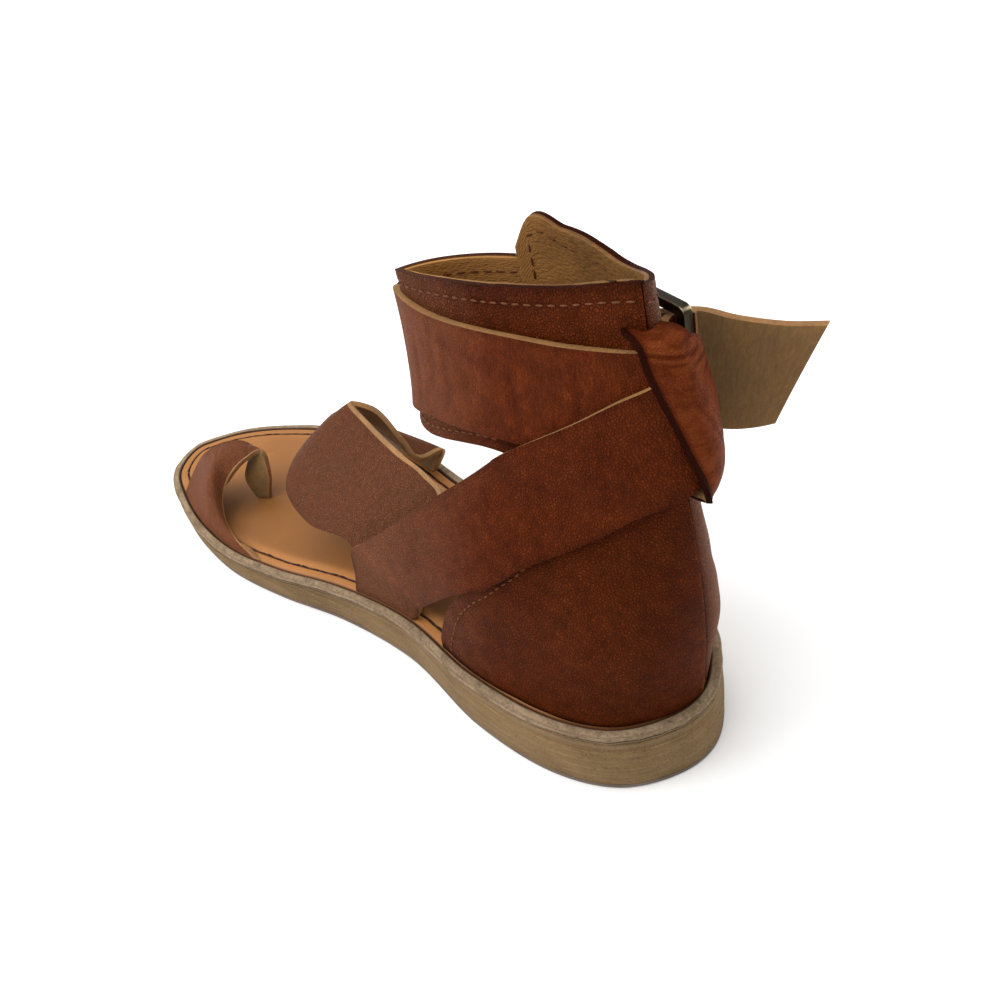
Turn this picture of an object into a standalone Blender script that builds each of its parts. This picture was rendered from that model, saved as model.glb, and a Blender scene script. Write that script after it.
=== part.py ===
"""Right-foot leather sandal with a toe loop, a vamp strap, and a high heel cuff bound by two straps."""
import bpy
import math
import numpy as np

# Sole sizes, in metres
SOLE_LENGTH = 0.262
BALL_WIDTH = 0.0832
WAIST_WIDTH = 0.0605
HEEL_WIDTH = 0.0655
TOE_WIDTH = 0.0580
HEEL_HEIGHT = 0.0229
BALL_HEIGHT = 0.0130
TOE_HEIGHT = 0.0057
TOE_SPRING = 0.0045
SPRING_START = 0.69
SPRING_CURVE = 1.8
OUTSOLE_THICKNESS = 0.0014
WELT_THICKNESS = 0.0026
WELT_WIDTH = 0.0030
HEEL_REST = 0.0340

# Upper sizes
CUFF_HEIGHT = 0.1191
CUFF_LENGTH = 0.0800
WALL = 0.0024
STRAP_THICKNESS = 0.0020
KEEPER_THICKNESS = 0.0014
VAMP_HEIGHT = 0.0460
TOE_LOOP_HEIGHT = 0.0215
TAIL_LENGTH = 0.0300
KEEPER_BULGE = 0.0022
FOLD_LEAD = 0.0062
FOLD_TAIL = 0.0061

# Buckle sizes
BUCKLE_WIRE = 0.0028
BUCKLE_LENGTH = 0.0145
BUCKLE_SLACK = 0.0012
BUCKLE_LEAN = 0.0030
BUCKLE_CORNER = 0.0030
PRONG_RADIUS = 0.0009

# Clearances: between touching pieces, and between layers of leather
GAP = 0.0003
PLY_GAP = 0.0005

# Stations of the seat's height along the sole
SEAT_STATIONS = (0.0, 0.18, 0.38, 0.58, 0.80, 1.0)
# Points along each side of the sole's outline
OUTLINE_COUNT = 30

# Sole outline from heel to toe; medial is +Y. The half-widths are shares of the named width.
SOLE_ROWS = (
    # along, width that it follows, medial, lateral
    (0.000, HEEL_WIDTH, -0.020, 0.020),
    (0.012, HEEL_WIDTH, 0.160, 0.185),
    (0.050, HEEL_WIDTH, 0.350, 0.372),
    (0.120, HEEL_WIDTH, 0.466, 0.492),
    (0.230, HEEL_WIDTH, 0.488, 0.519),
    (0.380, WAIST_WIDTH, 0.438, 0.562),
    (0.500, WAIST_WIDTH, 0.479, 0.618),
    (0.610, BALL_WIDTH, 0.424, 0.517),
    (0.710, BALL_WIDTH, 0.463, 0.532),
    (0.800, BALL_WIDTH, 0.445, 0.468),
    (0.900, TOE_WIDTH, 0.528, 0.462),
    (0.965, TOE_WIDTH, 0.397, 0.216),
    (0.992, TOE_WIDTH, 0.241, 0.017),
    (1.000, TOE_WIDTH, 0.103, -0.103),
)

# Ankle form from the heel seat to the top of the cuff. Heights are shares of the cuff's height,
# back and front are shares of the cuff's length, and half-widths are shares of the heel's width.
ANKLE_ROWS = (
    # up, back, front, medial, lateral, squareness
    (0.000, 0.045, 1.375, 0.484, 0.374, 2.80),
    (0.186, 0.020, 1.300, 0.466, 0.389, 2.40),
    (0.395, 0.025, 1.225, 0.359, 0.389, 1.95),
    (0.563, 0.044, 1.163, 0.221, 0.389, 1.80),
    (0.731, 0.081, 1.138, 0.122, 0.397, 1.80),
    (0.874, 0.119, 1.131, 0.076, 0.405, 1.80),
    (1.000, 0.135, 1.125, 0.061, 0.405, 1.80),
)
BACK_SEAM = -0.069

# Edges of the heel cuff by angle round the form, from the lateral flap, past the back seam at 0
# and the front fold at pi, to the end of the overlapping medial flap
CUFF_ROWS = (
    # turn, lower edge, top edge (shares of the cuff's height)
    (-2.05, 0.560, 0.900),
    (-1.95, 0.555, 0.952),
    (-1.60, 0.550, 0.950),
    (-0.95, 0.545, 0.935),
    (-0.40, 0.545, 0.975),
    (0.00, 0.550, 1.000),
    (0.60, 0.565, 0.990),
    (1.00, 0.580, 0.965),
    (1.60, 0.597, 0.935),
    (2.47, 0.528, 0.897),
    (3.14, 0.515, 0.880),
    (4.00, 0.510, 0.865),
    (5.00, 0.510, 0.850),
)
# How far the counter reaches round the form below the cuff's lower edge
COUNTER_ROWS = (
    # up, turn of its front edge
    (0.000, 1.80),
    (0.100, 1.79),
    (0.200, 1.74),
    (0.300, 1.58),
    (0.380, 1.38),
    (0.450, 1.25),
    (0.520, 1.28),
    (0.560, 1.50),
)
FLAP_STEP = 0.0034
# Where the lateral flap steps inward under the medial one: turn past the seam, and height
FLAP_TURNS = (0.2, 1.0)
FLAP_UPS = (0.38, 0.56)

# The ankle band, from its fixed end under the keeper to where it leaves the form for the buckle
BAND_ROWS = (
    # turn, lower edge, upper edge (shares of the cuff's height)
    (0.12, 0.640, 0.885),
    (0.77, 0.646, 0.870),
    (1.53, 0.638, 0.852),
    (2.27, 0.595, 0.832),
    (2.70, 0.560, 0.834),
    (3.14, 0.547, 0.836),
    (3.70, 0.540, 0.826),
    (4.30, 0.528, 0.812),
    (4.85, 0.520, 0.802),
    (5.15, 0.516, 0.798),
)

# How the band passes from under the buckle's front bar to over the fold on its rear bar
PASS_ROWS = (
    # share of the way back to the rear bar, share of the rise
    (0.20, 0.04),
    (0.60, 0.58),
)
# The band's tail behind the rear bar, as shares of its length and of the cuff's height
TAIL_ROWS = (
    # back at the lower edge, back at the upper edge, outward, lower edge up, upper edge up
    (0.00, 0.00, 0.000, 0.002, 0.000),
    (0.22, 0.30, 0.050, 0.010, -0.006),
    (0.40, 0.64, 0.100, 0.024, -0.002),
    (0.55, 0.98, 0.150, 0.042, 0.014),
)

# The wrap strap where it lies on the form
WRAP_ROWS = (
    # turn of lower edge, lower edge, turn of upper edge, upper edge
    (1.73, 0.245, 2.13, 0.410),
    (1.56, 0.300, 1.71, 0.560),
    (1.30, 0.395, 1.47, 0.626),
    (0.98, 0.472, 1.10, 0.708),
    (0.62, 0.548, 0.72, 0.783),
    (0.35, 0.584, 0.40, 0.822),
    (0.06, 0.608, 0.14, 0.845),
    (-0.20, 0.624, -0.20, 0.848),
    (-0.55, 0.580, -0.55, 0.830),
)
# The wrap strap's wrinkled foot, from the sole to the form: along is a share of the sole's
# length, across a share of the heel's width and up a share of the cuff's height above the seat
WRAP_FOOT_ROWS = (
    # lower along, lower across, lower up, upper along, upper across, upper up
    (0.344, 0.352, 0.030, 0.460, 0.362, 0.060),
    (0.331, 0.360, 0.076, 0.455, 0.345, 0.150),
    (0.290, 0.386, 0.140, 0.395, 0.318, 0.240),
)
WRAP_FOOT = (0.356, 0.466)
# Where the wrap strap climbs over the band: up from the band's lower edge, and turn
CLIMB_UPS = (-0.045, -0.010)
CLIMB_TURNS = (-0.35, 0.05)

# The vamp strap from its lateral to its medial foot: along is a share of the sole's length,
# across a share of the ball's width and up a share of the vamp's height above the seat
VAMP_ROWS = (
    # rear along, rear across, rear up, front along, front across, front up, bulge
    (0.542, -0.463, 0.250, 0.740, -0.466, 0.200, 0.03),
    (0.557, -0.373, 0.245, 0.728, -0.409, 0.400, 0.05),
    (0.563, -0.319, 0.500, 0.705, -0.300, 0.560, 0.06),
    (0.569, -0.240, 0.890, 0.672, -0.120, 0.650, 0.05),
    (0.584, -0.168, 1.000, 0.664, 0.036, 0.580, 0.04),
    (0.527, -0.120, 0.935, 0.641, 0.165, 0.490, 0.05),
    (0.454, -0.072, 0.860, 0.573, 0.228, 0.340, 0.06),
    (0.394, -0.040, 0.810, 0.490, 0.214, 0.330, 0.06),
    (0.356, -0.005, 0.770, 0.474, 0.225, 0.250, 0.05),
    (0.344, 0.110, 0.460, 0.462, 0.236, 0.160, 0.04),
)
VAMP_LATERAL_FOOT = (0.565, 0.742)
VAMP_MEDIAL_FOOT = (0.359, 0.455)

# The toe loop from the sole's medial edge over the big toe to the thong between the toes: along
# is a share of the sole's length, across a share of the ball's width, up a share of its height
TOE_LOOP_ROWS = (
    # front along, across, up, middle along, across, up, rear along, across, up
    (0.889, 0.245, 0.42, 0.790, 0.378, 0.38, 0.702, 0.398, 0.16),
    (0.866, 0.180, 0.78, 0.800, 0.300, 0.72, 0.756, 0.345, 0.28),
    (0.836, 0.108, 0.98, 0.808, 0.205, 0.94, 0.788, 0.255, 0.52),
    (0.809, 0.048, 0.96, 0.794, 0.108, 1.00, 0.779, 0.150, 0.86),
    (0.800, 0.024, 0.78, 0.784, 0.040, 0.93, 0.768, 0.050, 0.96),
    (0.794, 0.122, 0.36, 0.775, 0.088, 0.44, 0.757, 0.054, 0.50),
    (0.785, 0.120, 0.04, 0.774, 0.104, 0.04, 0.763, 0.088, 0.04),
)
TOE_LOOP_FOOT = (0.900, 0.650)

# The keeper's two side edges over the crossed straps, from top to bottom
KEEPER_ROWS = (
    # up at the medial edge, up at the lateral edge, turns of the two edges, bulge
    (0.905, 0.905, 0.52, -0.16, 0.2),
    (0.860, 0.860, 0.50, -0.36, 0.8),
    (0.780, 0.785, 0.40, -0.42, 1.0),
    (0.700, 0.712, 0.28, -0.42, 1.0),
    (0.642, 0.658, 0.17, -0.38, 0.7),
    (0.592, 0.608, 0.09, -0.31, 0.1),
)
# How far the keeper's turned-in ends have come back to the cuff at their middle
KEEPER_TURN = 0.6


def clear_scene():
    for old in list(bpy.data.objects):
        bpy.data.objects.remove(old, do_unlink=True)


def material(name, colour, roughness, metallic=0.0):
    made = bpy.data.materials.new(name)
    made.use_nodes = True
    shader = made.node_tree.nodes["Principled BSDF"]
    shader.inputs["Base Color"].default_value = (*colour, 1.0)
    shader.inputs["Roughness"].default_value = roughness
    shader.inputs["Metallic"].default_value = metallic
    made.diffuse_color = (*colour, 1.0)
    return made


def add_mesh(name, points, faces, look, smooth=True):
    """Add one closed body, its points shifted so that the heel rest is the origin."""
    mesh = bpy.data.meshes.new(name)
    mesh.from_pydata([(x - HEEL_REST, y, z) for x, y, z in points], [], faces)
    mesh.update()
    if smooth:
        mesh.shade_smooth()
        mesh.set_sharp_from_angle(angle=math.radians(40))
    mesh.materials.append(look)
    body = bpy.data.objects.new(name, mesh)
    bpy.context.collection.objects.link(body)
    return body


def ease(value, start, end):
    """Rise smoothly from 0 at start to 1 at end."""
    share = min(max((value - start) / (end - start), 0.0), 1.0)
    return share * share * (3.0 - 2.0 * share)


def read_curve(knots, values, place):
    """Read a smooth curve through a table's column, or through rows of several columns."""
    knots = np.asarray(knots, float)
    values = np.asarray(values, float)
    place = min(max(place, knots[0]), knots[-1])
    i = int(min(np.searchsorted(knots, place, side="right") - 1, len(knots) - 2))
    step = knots[i + 1] - knots[i]
    t = (place - knots[i]) / step
    before = values[i] - values[i - 1] if i > 0 else values[i + 1] - values[i]
    after = values[i + 2] - values[i + 1] if i + 2 < len(knots) else values[i + 1] - values[i]
    span_before = knots[i] - knots[i - 1] if i > 0 else step
    span_after = knots[i + 2] - knots[i + 1] if i + 2 < len(knots) else step
    rise = (values[i + 1] - values[i]) / step
    slope_a = (before / span_before * step + rise * span_before) / (step + span_before)
    slope_b = (after / span_after * step + rise * span_after) / (step + span_after)
    h00 = (1 + 2 * t) * (1 - t) ** 2
    h10 = t * (1 - t) ** 2
    h01 = t * t * (3 - 2 * t)
    h11 = t * t * (t - 1)
    return h00 * values[i] + h10 * step * slope_a + h01 * values[i + 1] + h11 * step * slope_b


def column(rows, index):
    return [row[index] for row in rows]


# Sole form

def seat_height(x):
    """Height of the insole's and the welt's top face, x being measured from the heel's back."""
    middle = (HEEL_HEIGHT + BALL_HEIGHT) / 2
    front = (BALL_HEIGHT + TOE_HEIGHT) / 2
    heights = (HEEL_HEIGHT, HEEL_HEIGHT, middle, BALL_HEIGHT, front, TOE_HEIGHT)
    return float(read_curve(SEAT_STATIONS, heights, x / SOLE_LENGTH)) + ground_height(x)


def ground_height(x):
    """Height of the sole's underside: flat to the ball, then the toe spring."""
    return TOE_SPRING * max((x / SOLE_LENGTH - SPRING_START) / (1 - SPRING_START), 0.0) ** SPRING_CURVE


def half_width(share, side):
    """Half-width of the sole at a share of its length; side is 0 for medial, 1 for lateral."""
    knots = [math.acos(1 - 2 * row[0]) for row in SOLE_ROWS]
    values = [row[1] * row[2 + side] for row in SOLE_ROWS]
    return float(read_curve(knots, values, math.acos(min(max(1 - 2 * share, -1.0), 1.0))))


def sole_edge(inset):
    """Medial and lateral outline points, heel to toe, moved inward by an inset."""
    lines = []
    count = OUTLINE_COUNT
    for side, sign in ((0, 1.0), (1, -1.0)):
        line = []
        for i in range(count + 1):
            share = 0.5 * (1 - math.cos(math.pi * i / count))
            line.append((share * SOLE_LENGTH, sign * half_width(share, side)))
        lines.append(line)
    loop = lines[0] + lines[1][-2:0:-1]
    moved = []
    for i, (x, y) in enumerate(loop):
        x0, y0 = loop[i - 1]
        x1, y1 = loop[(i + 1) % len(loop)]
        size = math.hypot(x1 - x0, y1 - y0)
        moved.append((x + (y1 - y0) / size * inset, y - (x1 - x0) / size * inset))
    medial = moved[:count + 1]
    lateral = [moved[0]] + moved[:count:-1] + [moved[count]]
    return medial, lateral


def edge_across(x, inset, side):
    """Y of the sole's inset edge at x; side is 0 for medial, 1 for lateral."""
    line = sole_edge(inset)[side]
    return float(np.interp(x, [p[0] for p in line], [p[1] for p in line]))


def slab(name, inset, bottom, top, look):
    """A layer of the sole between two heights that follow x."""
    medial, lateral = sole_edge(inset)
    count = len(medial) - 1
    points = []
    for height in (bottom, top):
        points += [(x, y, height(x)) for x, y in medial]
        points += [(x, y, height(x)) for x, y in lateral[1:-1]]
    layer = 2 * count

    def low(i, side):
        if side == 0 or i in (0, count):
            return i
        return count + i

    faces = []
    for i in range(count):
        a, b = low(i, 0), low(i + 1, 0)
        c, d = low(i + 1, 1), low(i, 1)
        ring = [a, b, c, d]
        flat = [p for k, p in enumerate(ring) if p not in ring[:k]]
        faces.append(tuple(flat))
        faces.append(tuple(p + layer for p in reversed(flat)))
        faces.append((b, a, a + layer, b + layer))
        faces.append((d, c, c + layer, d + layer))
    return add_mesh(name, points, faces, look)


def rim(name, inset, width, bottom, top, look):
    """A ring that follows the sole's edge."""
    loops = []
    for depth in (inset, inset + width):
        medial, lateral = sole_edge(depth)
        loops.append(medial + lateral[-2:0:-1])
    count = len(loops[0])
    points = []
    for loop, height in ((0, bottom), (0, top), (1, top), (1, bottom)):
        points += [(x, y, height(x)) for x, y in loops[loop]]
    faces = []
    for k in range(4):
        for i in range(count):
            j = (i + 1) % count
            m = (k + 1) % 4
            faces.append((k * count + i, m * count + i, m * count + j, k * count + j))
    return add_mesh(name, points, faces, look)


# Ankle form

def ankle_point(turn, up, lift):
    """A point on the ankle form: turn is 0 at the back seam and pi at the front by the medial side,
    up a share of the cuff's height above the heel seat, and lift a distance outside the form."""
    row = read_curve(column(ANKLE_ROWS, 0), [r[1:] for r in ANKLE_ROWS], up)
    back = row[0] * CUFF_LENGTH - lift
    front = row[1] * CUFF_LENGTH + lift
    cos, sin = math.cos(turn), math.sin(turn)
    half = (row[2] if sin > 0 else row[3]) * HEEL_WIDTH + lift
    power = 2.0 / row[4]
    x = (back + front) / 2 - (front - back) / 2 * math.copysign(abs(cos) ** power, cos)
    y = BACK_SEAM * HEEL_WIDTH + half * math.copysign(abs(sin) ** power, sin)
    return np.array((x, y, HEEL_HEIGHT + up * CUFF_HEIGHT))


# Leather sheets

def shell(name, outer, inner, look, keep=None):
    """A closed wall between two grids of points; keep(i, j) tells which cells it covers."""
    rows, cols = len(outer), len(outer[0])
    cells = [(i, j) for i in range(rows - 1) for j in range(cols - 1) if keep is None or keep(i, j)]
    used = {}
    points = []

    def vertex(side, i, j):
        key = (side, i, j)
        if key not in used:
            used[key] = len(points)
            points.append(tuple((outer, inner)[side][i][j]))
        return used[key]

    faces = []
    edges = {}
    for i, j in cells:
        ring = ((i, j), (i + 1, j), (i + 1, j + 1), (i, j + 1))
        faces.append(tuple(vertex(0, *p) for p in ring))
        faces.append(tuple(vertex(1, *p) for p in reversed(ring)))
        for k in range(4):
            a, b = ring[k], ring[(k + 1) % 4]
            if (b, a) in edges:
                del edges[(b, a)]
            else:
                edges[(a, b)] = True
    for a, b in edges:
        faces.append((vertex(0, *b), vertex(0, *a), vertex(1, *a), vertex(1, *b)))
    middle = np.array([outer[i][j] for i, j in cells]) - np.array([inner[i][j] for i, j in cells])
    i, j = cells[len(cells) // 2]
    across = np.cross(np.subtract(outer[i + 1][j], outer[i][j]), np.subtract(outer[i][j + 1], outer[i][j]))
    if float(across @ middle[len(cells) // 2]) < 0:
        faces = [tuple(reversed(face)) for face in faces]
    return add_mesh(name, points, faces, look)


def grid_normals(grid, outward):
    """Unit normals of a grid of points, on the side of the reference direction at its middle."""
    points = np.array(grid, float)
    along = np.gradient(points, axis=0)
    across = np.gradient(points, axis=1)
    normals = np.cross(along, across)
    normals /= np.linalg.norm(normals, axis=2, keepdims=True)
    middle = normals[len(grid) // 2][len(grid[0]) // 2]
    if float(middle @ np.array(outward)) < 0:
        normals = -normals
    return normals


def sample_rows(rows, count):
    """Rows of points read evenly by length from a smooth curve through the given rows."""
    data = np.array(rows, float)
    steps = np.linalg.norm(np.diff(data, axis=0), axis=2).mean(axis=1)
    knots = np.concatenate(([0.0], np.cumsum(steps)))
    return [read_curve(knots, data, knots[-1] * i / count) for i in range(count + 1)]


def build_heel_cuff(look):
    """Counter and cuff in one lined wall: its medial flap folds round the front over the lateral."""
    lower_rows, upper_rows = 9, 6
    back = np.linspace(-1.0, 1.0, 19)
    extra_lateral = (-2.05, -1.95, -1.80, -1.65)
    extra_medial = np.linspace(1.50, 5.0, 25)[1:]
    reach = COUNTER_ROWS[-1][1]

    def edges(turn):
        return read_curve(column(CUFF_ROWS, 0), [r[1:] for r in CUFF_ROWS], turn)

    def place(turn, up, depth):
        flap = ease(-turn, *FLAP_TURNS) * ease(up, *FLAP_UPS)
        return ankle_point(turn, up, -depth - FLAP_STEP * flap)

    turns = list(extra_lateral) + [reach * s for s in back] + list(extra_medial)
    first, last = len(extra_lateral), len(extra_lateral) + len(back) - 1
    grids = []
    for depth in (0.0, WALL):
        grid = []
        for r in range(lower_rows):
            line = []
            for k, turn in enumerate(turns):
                share = r / lower_rows
                split = edges(turn)[0]
                width = float(read_curve(column(COUNTER_ROWS, 0), column(COUNTER_ROWS, 1), share * split))
                here = turn if k < first or k > last else back[k - first] * width
                point = place(here, share * split, depth)
                if r == 0:
                    point[2] = seat_height(point[0]) + GAP
                line.append(point)
            grid.append(line)
        for r in range(upper_rows + 1):
            line = []
            for turn in turns:
                low, high = edges(turn)
                line.append(place(turn, low + (high - low) * r / upper_rows, depth))
            grid.append(line)
        grids.append(grid)

    def keep(i, j):
        return i >= lower_rows or first <= j < last

    return shell("heel_cuff", grids[0], grids[1], look, keep)


def band_edges(turn):
    return read_curve(column(BAND_ROWS, 0), [r[1:] for r in BAND_ROWS], turn)


def front_bar():
    """Centre of the buckle's front bar from above, outside the band where it leaves the form."""
    lift = PLY_GAP + STRAP_THICKNESS + 2 * GAP + BUCKLE_WIRE / 2
    return tuple(ankle_point(BAND_ROWS[-1][0], BAND_ROWS[-1][2], lift)[:2])


def rear_bar():
    """Centre of the buckle's rear bar from above, inside the band and held by the wrap strap."""
    x, y = front_bar()
    return x - (BUCKLE_LENGTH - BUCKLE_WIRE), y + BUCKLE_LEAN


def tail_rows(start, lift):
    """Rows of the band's free end: under the front bar, over the fold and back to its slanted cut."""
    bar_x, bar_y = rear_bar()
    span = BUCKLE_LENGTH - BUCKLE_WIRE
    under = ankle_point(BAND_ROWS[-1][0], BAND_ROWS[-1][2], PLY_GAP)[1]
    over = bar_y - BUCKLE_WIRE / 2 - GAP - STRAP_THICKNESS - 2 * PLY_GAP
    flat = [start[0][2] + (start[-1][2] - start[0][2]) * s for s in np.linspace(0, 1, len(start))]
    rows = []
    for way, climb in PASS_ROWS:
        x = bar_x + span * (1 - way)
        y = under + (over - under) * climb - lift
        rows.append([np.array((x, y, z)) for z in flat])
    for low_back, high_back, out, low_up, high_up in TAIL_ROWS:
        line = []
        for s, z in zip(np.linspace(0, 1, len(start)), flat):
            back = (low_back + (high_back - low_back) * s) * TAIL_LENGTH
            rise = (low_up + (high_up - low_up) * s) * CUFF_HEIGHT
            line.append(np.array((bar_x - back, over - out * TAIL_LENGTH - lift, z + rise)))
        rows.append(line)
    return rows


def build_ankle_band(look):
    """Strap round the ankle from the keeper, through the buckle, to its free tail."""
    across = 5
    turns = np.linspace(BAND_ROWS[0][0], BAND_ROWS[-1][0], 44)
    grids = []
    for side in (1.0, 0.0):
        grid = []
        for turn in turns:
            low, high = band_edges(turn)
            lift = PLY_GAP + side * STRAP_THICKNESS
            grid.append([ankle_point(turn, low + (high - low) * s / across, lift) for s in range(across + 1)])
        free = tail_rows(grid[-1], side * STRAP_THICKNESS)
        tail = sample_rows([grid[-1]] + free, 12)[1:]
        grids.append(grid + tail)
    hole = len(turns)

    def keep(i, j):
        return not (hole <= i <= hole + 1 and j == across // 2)

    return shell("ankle_band", grids[0], grids[1], look, keep)


def wrap_lift(turn, up):
    """Inner lift of the wrap strap: over the ankle band where they cross, else on the counter."""
    low = band_edges(turn)[0]
    over = ease(up - low, *CLIMB_UPS) * ease(turn, *CLIMB_TURNS)
    return PLY_GAP + (STRAP_THICKNESS + PLY_GAP) * over


def wrap_fold(line, side):
    """Rows that carry the wrap strap off the form, round the buckle's rear bar and back on itself."""
    bar_x, bar_y = rear_bar()
    radius = BUCKLE_WIRE / 2 + GAP + side * STRAP_THICKNESS
    low = HEEL_HEIGHT + BAND_ROWS[-1][1] * CUFF_HEIGHT
    high = HEEL_HEIGHT + BAND_ROWS[-1][2] * CUFF_HEIGHT
    approach = math.atan2(bar_y - line[0][1], bar_x - line[0][0])
    inner_angle = approach + math.pi / 2
    rows = [(bar_x + radius * math.cos(inner_angle) - FOLD_LEAD * math.cos(approach),
             bar_y + radius * math.sin(inner_angle) - FOLD_LEAD * math.sin(approach))]
    for turn in np.linspace(0.0, 1.0, 6):
        angle = inner_angle + (math.radians(-90) - inner_angle) * turn
        rows.append((bar_x + radius * math.cos(angle), bar_y + radius * math.sin(angle)))
    for back in (BUCKLE_WIRE / 2, BUCKLE_WIRE / 2 + FOLD_TAIL):
        rows.append((bar_x - back, bar_y - radius))
    return [[np.array((x, y, low + (high - low) * s)) for s in np.linspace(0, 1, len(line))] for x, y in rows]


def build_wrap_strap(look):
    """Strap from the medial sole edge, over the band at the back, to the buckle."""
    across = 5
    knots = list(range(len(WRAP_ROWS)))
    laid = [read_curve(knots, WRAP_ROWS, k) for k in np.linspace(0, knots[-1], 27)]
    grids = []
    for side in (1.0, 0.0):
        form = []
        for low_turn, low, high_turn, high in laid:
            line = []
            for s in range(across + 1):
                share = s / across
                turn = low_turn + (high_turn - low_turn) * share
                up = low + (high - low) * share
                line.append(ankle_point(turn, up, wrap_lift(turn, up) + side * STRAP_THICKNESS))
            form.append(line)
        grids.append(form)
    foot_rows = []
    base = []
    for s in range(across + 1):
        x = (WRAP_FOOT[0] + (WRAP_FOOT[1] - WRAP_FOOT[0]) * s / across) * SOLE_LENGTH
        base.append(np.array((x, edge_across(x, WELT_WIDTH + GAP, 0), seat_height(x) + GAP)))
    foot_rows.append(base)
    for low_x, low_y, low_up, high_x, high_y, high_up in WRAP_FOOT_ROWS:
        line = []
        for s in np.linspace(0, 1, across + 1):
            x = (low_x + (high_x - low_x) * s) * SOLE_LENGTH
            y = (low_y + (high_y - low_y) * s) * HEEL_WIDTH
            up = (low_up + (high_up - low_up) * s) * CUFF_HEIGHT
            line.append(np.array((x, y, seat_height(x) + up)))
        foot_rows.append(line)
    foot = sample_rows(foot_rows + [grids[0][0]], 10)
    normals = grid_normals(foot, (0, 1, 0))
    outer_foot = foot[:-1]
    inner_foot = [[foot[i][j] - normals[i][j] * STRAP_THICKNESS for j in range(across + 1)]
                  for i in range(len(foot) - 1)]
    for j in range(across + 1):
        inner_foot[0][j][2] = foot[0][j][2]
    outer = list(outer_foot) + grids[0] + wrap_fold(grids[0][-1], 1.0)
    inner = inner_foot + grids[1] + wrap_fold(grids[1][-1], 0.0)
    bar_start = len(outer) - 9

    def keep(i, j):
        return not (bar_start <= i <= bar_start + 5 and j == across // 2)

    return shell("wrap_strap", outer, inner, look, keep)


def build_vamp_strap(look):
    """Broad strap over the forefoot, folded out at its lateral foot."""
    across = 6
    rows = []

    def foot(places, side, inset):
        line = []
        for s in np.linspace(0, 1, across + 1):
            x = (places[0] + (places[1] - places[0]) * s) * SOLE_LENGTH
            line.append(np.array((x, edge_across(x, inset, side), seat_height(x) + GAP)))
        return line

    rows.append(foot(VAMP_LATERAL_FOOT, 1, WELT_WIDTH + GAP))
    for rear_x, rear_y, rear_up, front_x, front_y, front_up, bulge in VAMP_ROWS:
        line = []
        for s in np.linspace(0, 1, across + 1):
            x = (rear_x + (front_x - rear_x) * s) * SOLE_LENGTH
            y = (rear_y + (front_y - rear_y) * s) * BALL_WIDTH
            up = (rear_up + (front_up - rear_up) * s + bulge * 4 * s * (1 - s)) * VAMP_HEIGHT
            line.append(np.array((x, y, seat_height(x) + up)))
        rows.append(line)
    rows.append(foot(VAMP_MEDIAL_FOOT, 0, WELT_WIDTH + GAP + STRAP_THICKNESS + 2 * PLY_GAP))
    outer = sample_rows(rows, 34)
    normals = grid_normals(outer, (0.5, 0, 1))
    inner = [[outer[i][j] - normals[i][j] * STRAP_THICKNESS for j in range(across + 1)]
             for i in range(len(outer))]
    for i in (0, len(outer) - 1):
        for j in range(across + 1):
            inner[i][j][2] = outer[i][j][2]
    return shell("vamp_strap", outer, inner, look)


def build_toe_loop(look):
    """Strap from the medial edge over the big toe, narrowing to the thong between the toes."""
    across = 6
    rows = []
    line = []
    for s in np.linspace(0, 1, across + 1):
        x = (TOE_LOOP_FOOT[0] + (TOE_LOOP_FOOT[1] - TOE_LOOP_FOOT[0]) * s) * SOLE_LENGTH
        line.append(np.array((x, edge_across(x, WELT_WIDTH + GAP, 0), seat_height(x) + GAP)))
    rows.append(line)
    for row in TOE_LOOP_ROWS:
        ends = [np.array(row[3 * k:3 * k + 3]) for k in range(3)]
        line = []
        for s in np.linspace(0, 2, across + 1):
            along, side, up = read_curve((0, 1, 2), ends, s)
            x = along * SOLE_LENGTH
            line.append(np.array((x, side * BALL_WIDTH, seat_height(x) + up * TOE_LOOP_HEIGHT)))
        rows.append(line)
    outer = sample_rows(rows, 22)
    normals = grid_normals(outer, (0, 0.3, 1))
    inner = [[outer[i][j] - normals[i][j] * STRAP_THICKNESS for j in range(across + 1)]
             for i in range(len(outer))]
    for i in (0, len(outer) - 1):
        for j in range(across + 1):
            inner[i][j][2] = outer[i][j][2] = seat_height(outer[i][j][0]) + GAP
    return shell("toe_loop", outer, inner, look)


def build_keeper_loop(look):
    """Keeper over the crossed straps, its two ends turned in to the cuff."""
    across = 6
    count = len(KEEPER_ROWS) - 1
    grids = []
    for side in (1.0, 0.0):
        grid = []
        turned = KEEPER_THICKNESS * side / CUFF_HEIGHT
        path = [(0, out, turned) for out in (0.0, KEEPER_TURN)]
        path += [(place, 1.0, 0.0) for place in np.linspace(0, count, 15)]
        path += [(count, out, -turned) for out in (KEEPER_TURN, 0.0)]
        for place, out, rise in path:
            medial_up, lateral_up, medial, lateral, bulge = read_curve(range(count + 1), KEEPER_ROWS, place)
            line = []
            for s in range(across + 1):
                turn = medial + (lateral - medial) * s / across
                up = medial_up + (lateral_up - medial_up) * s / across
                bearing = wrap_lift(max(turn, 0.0), up) + STRAP_THICKNESS
                lift = PLY_GAP + (bearing + PLY_GAP) * out
                if out == 1.0:
                    lift += KEEPER_BULGE * bulge * math.sin(math.pi * s / across) + side * KEEPER_THICKNESS
                up += rise
                line.append(ankle_point(turn, up, lift))
            grid.append(line)
        grids.append(grid)
    return shell("keeper_loop", grids[0], grids[1], look)


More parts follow.
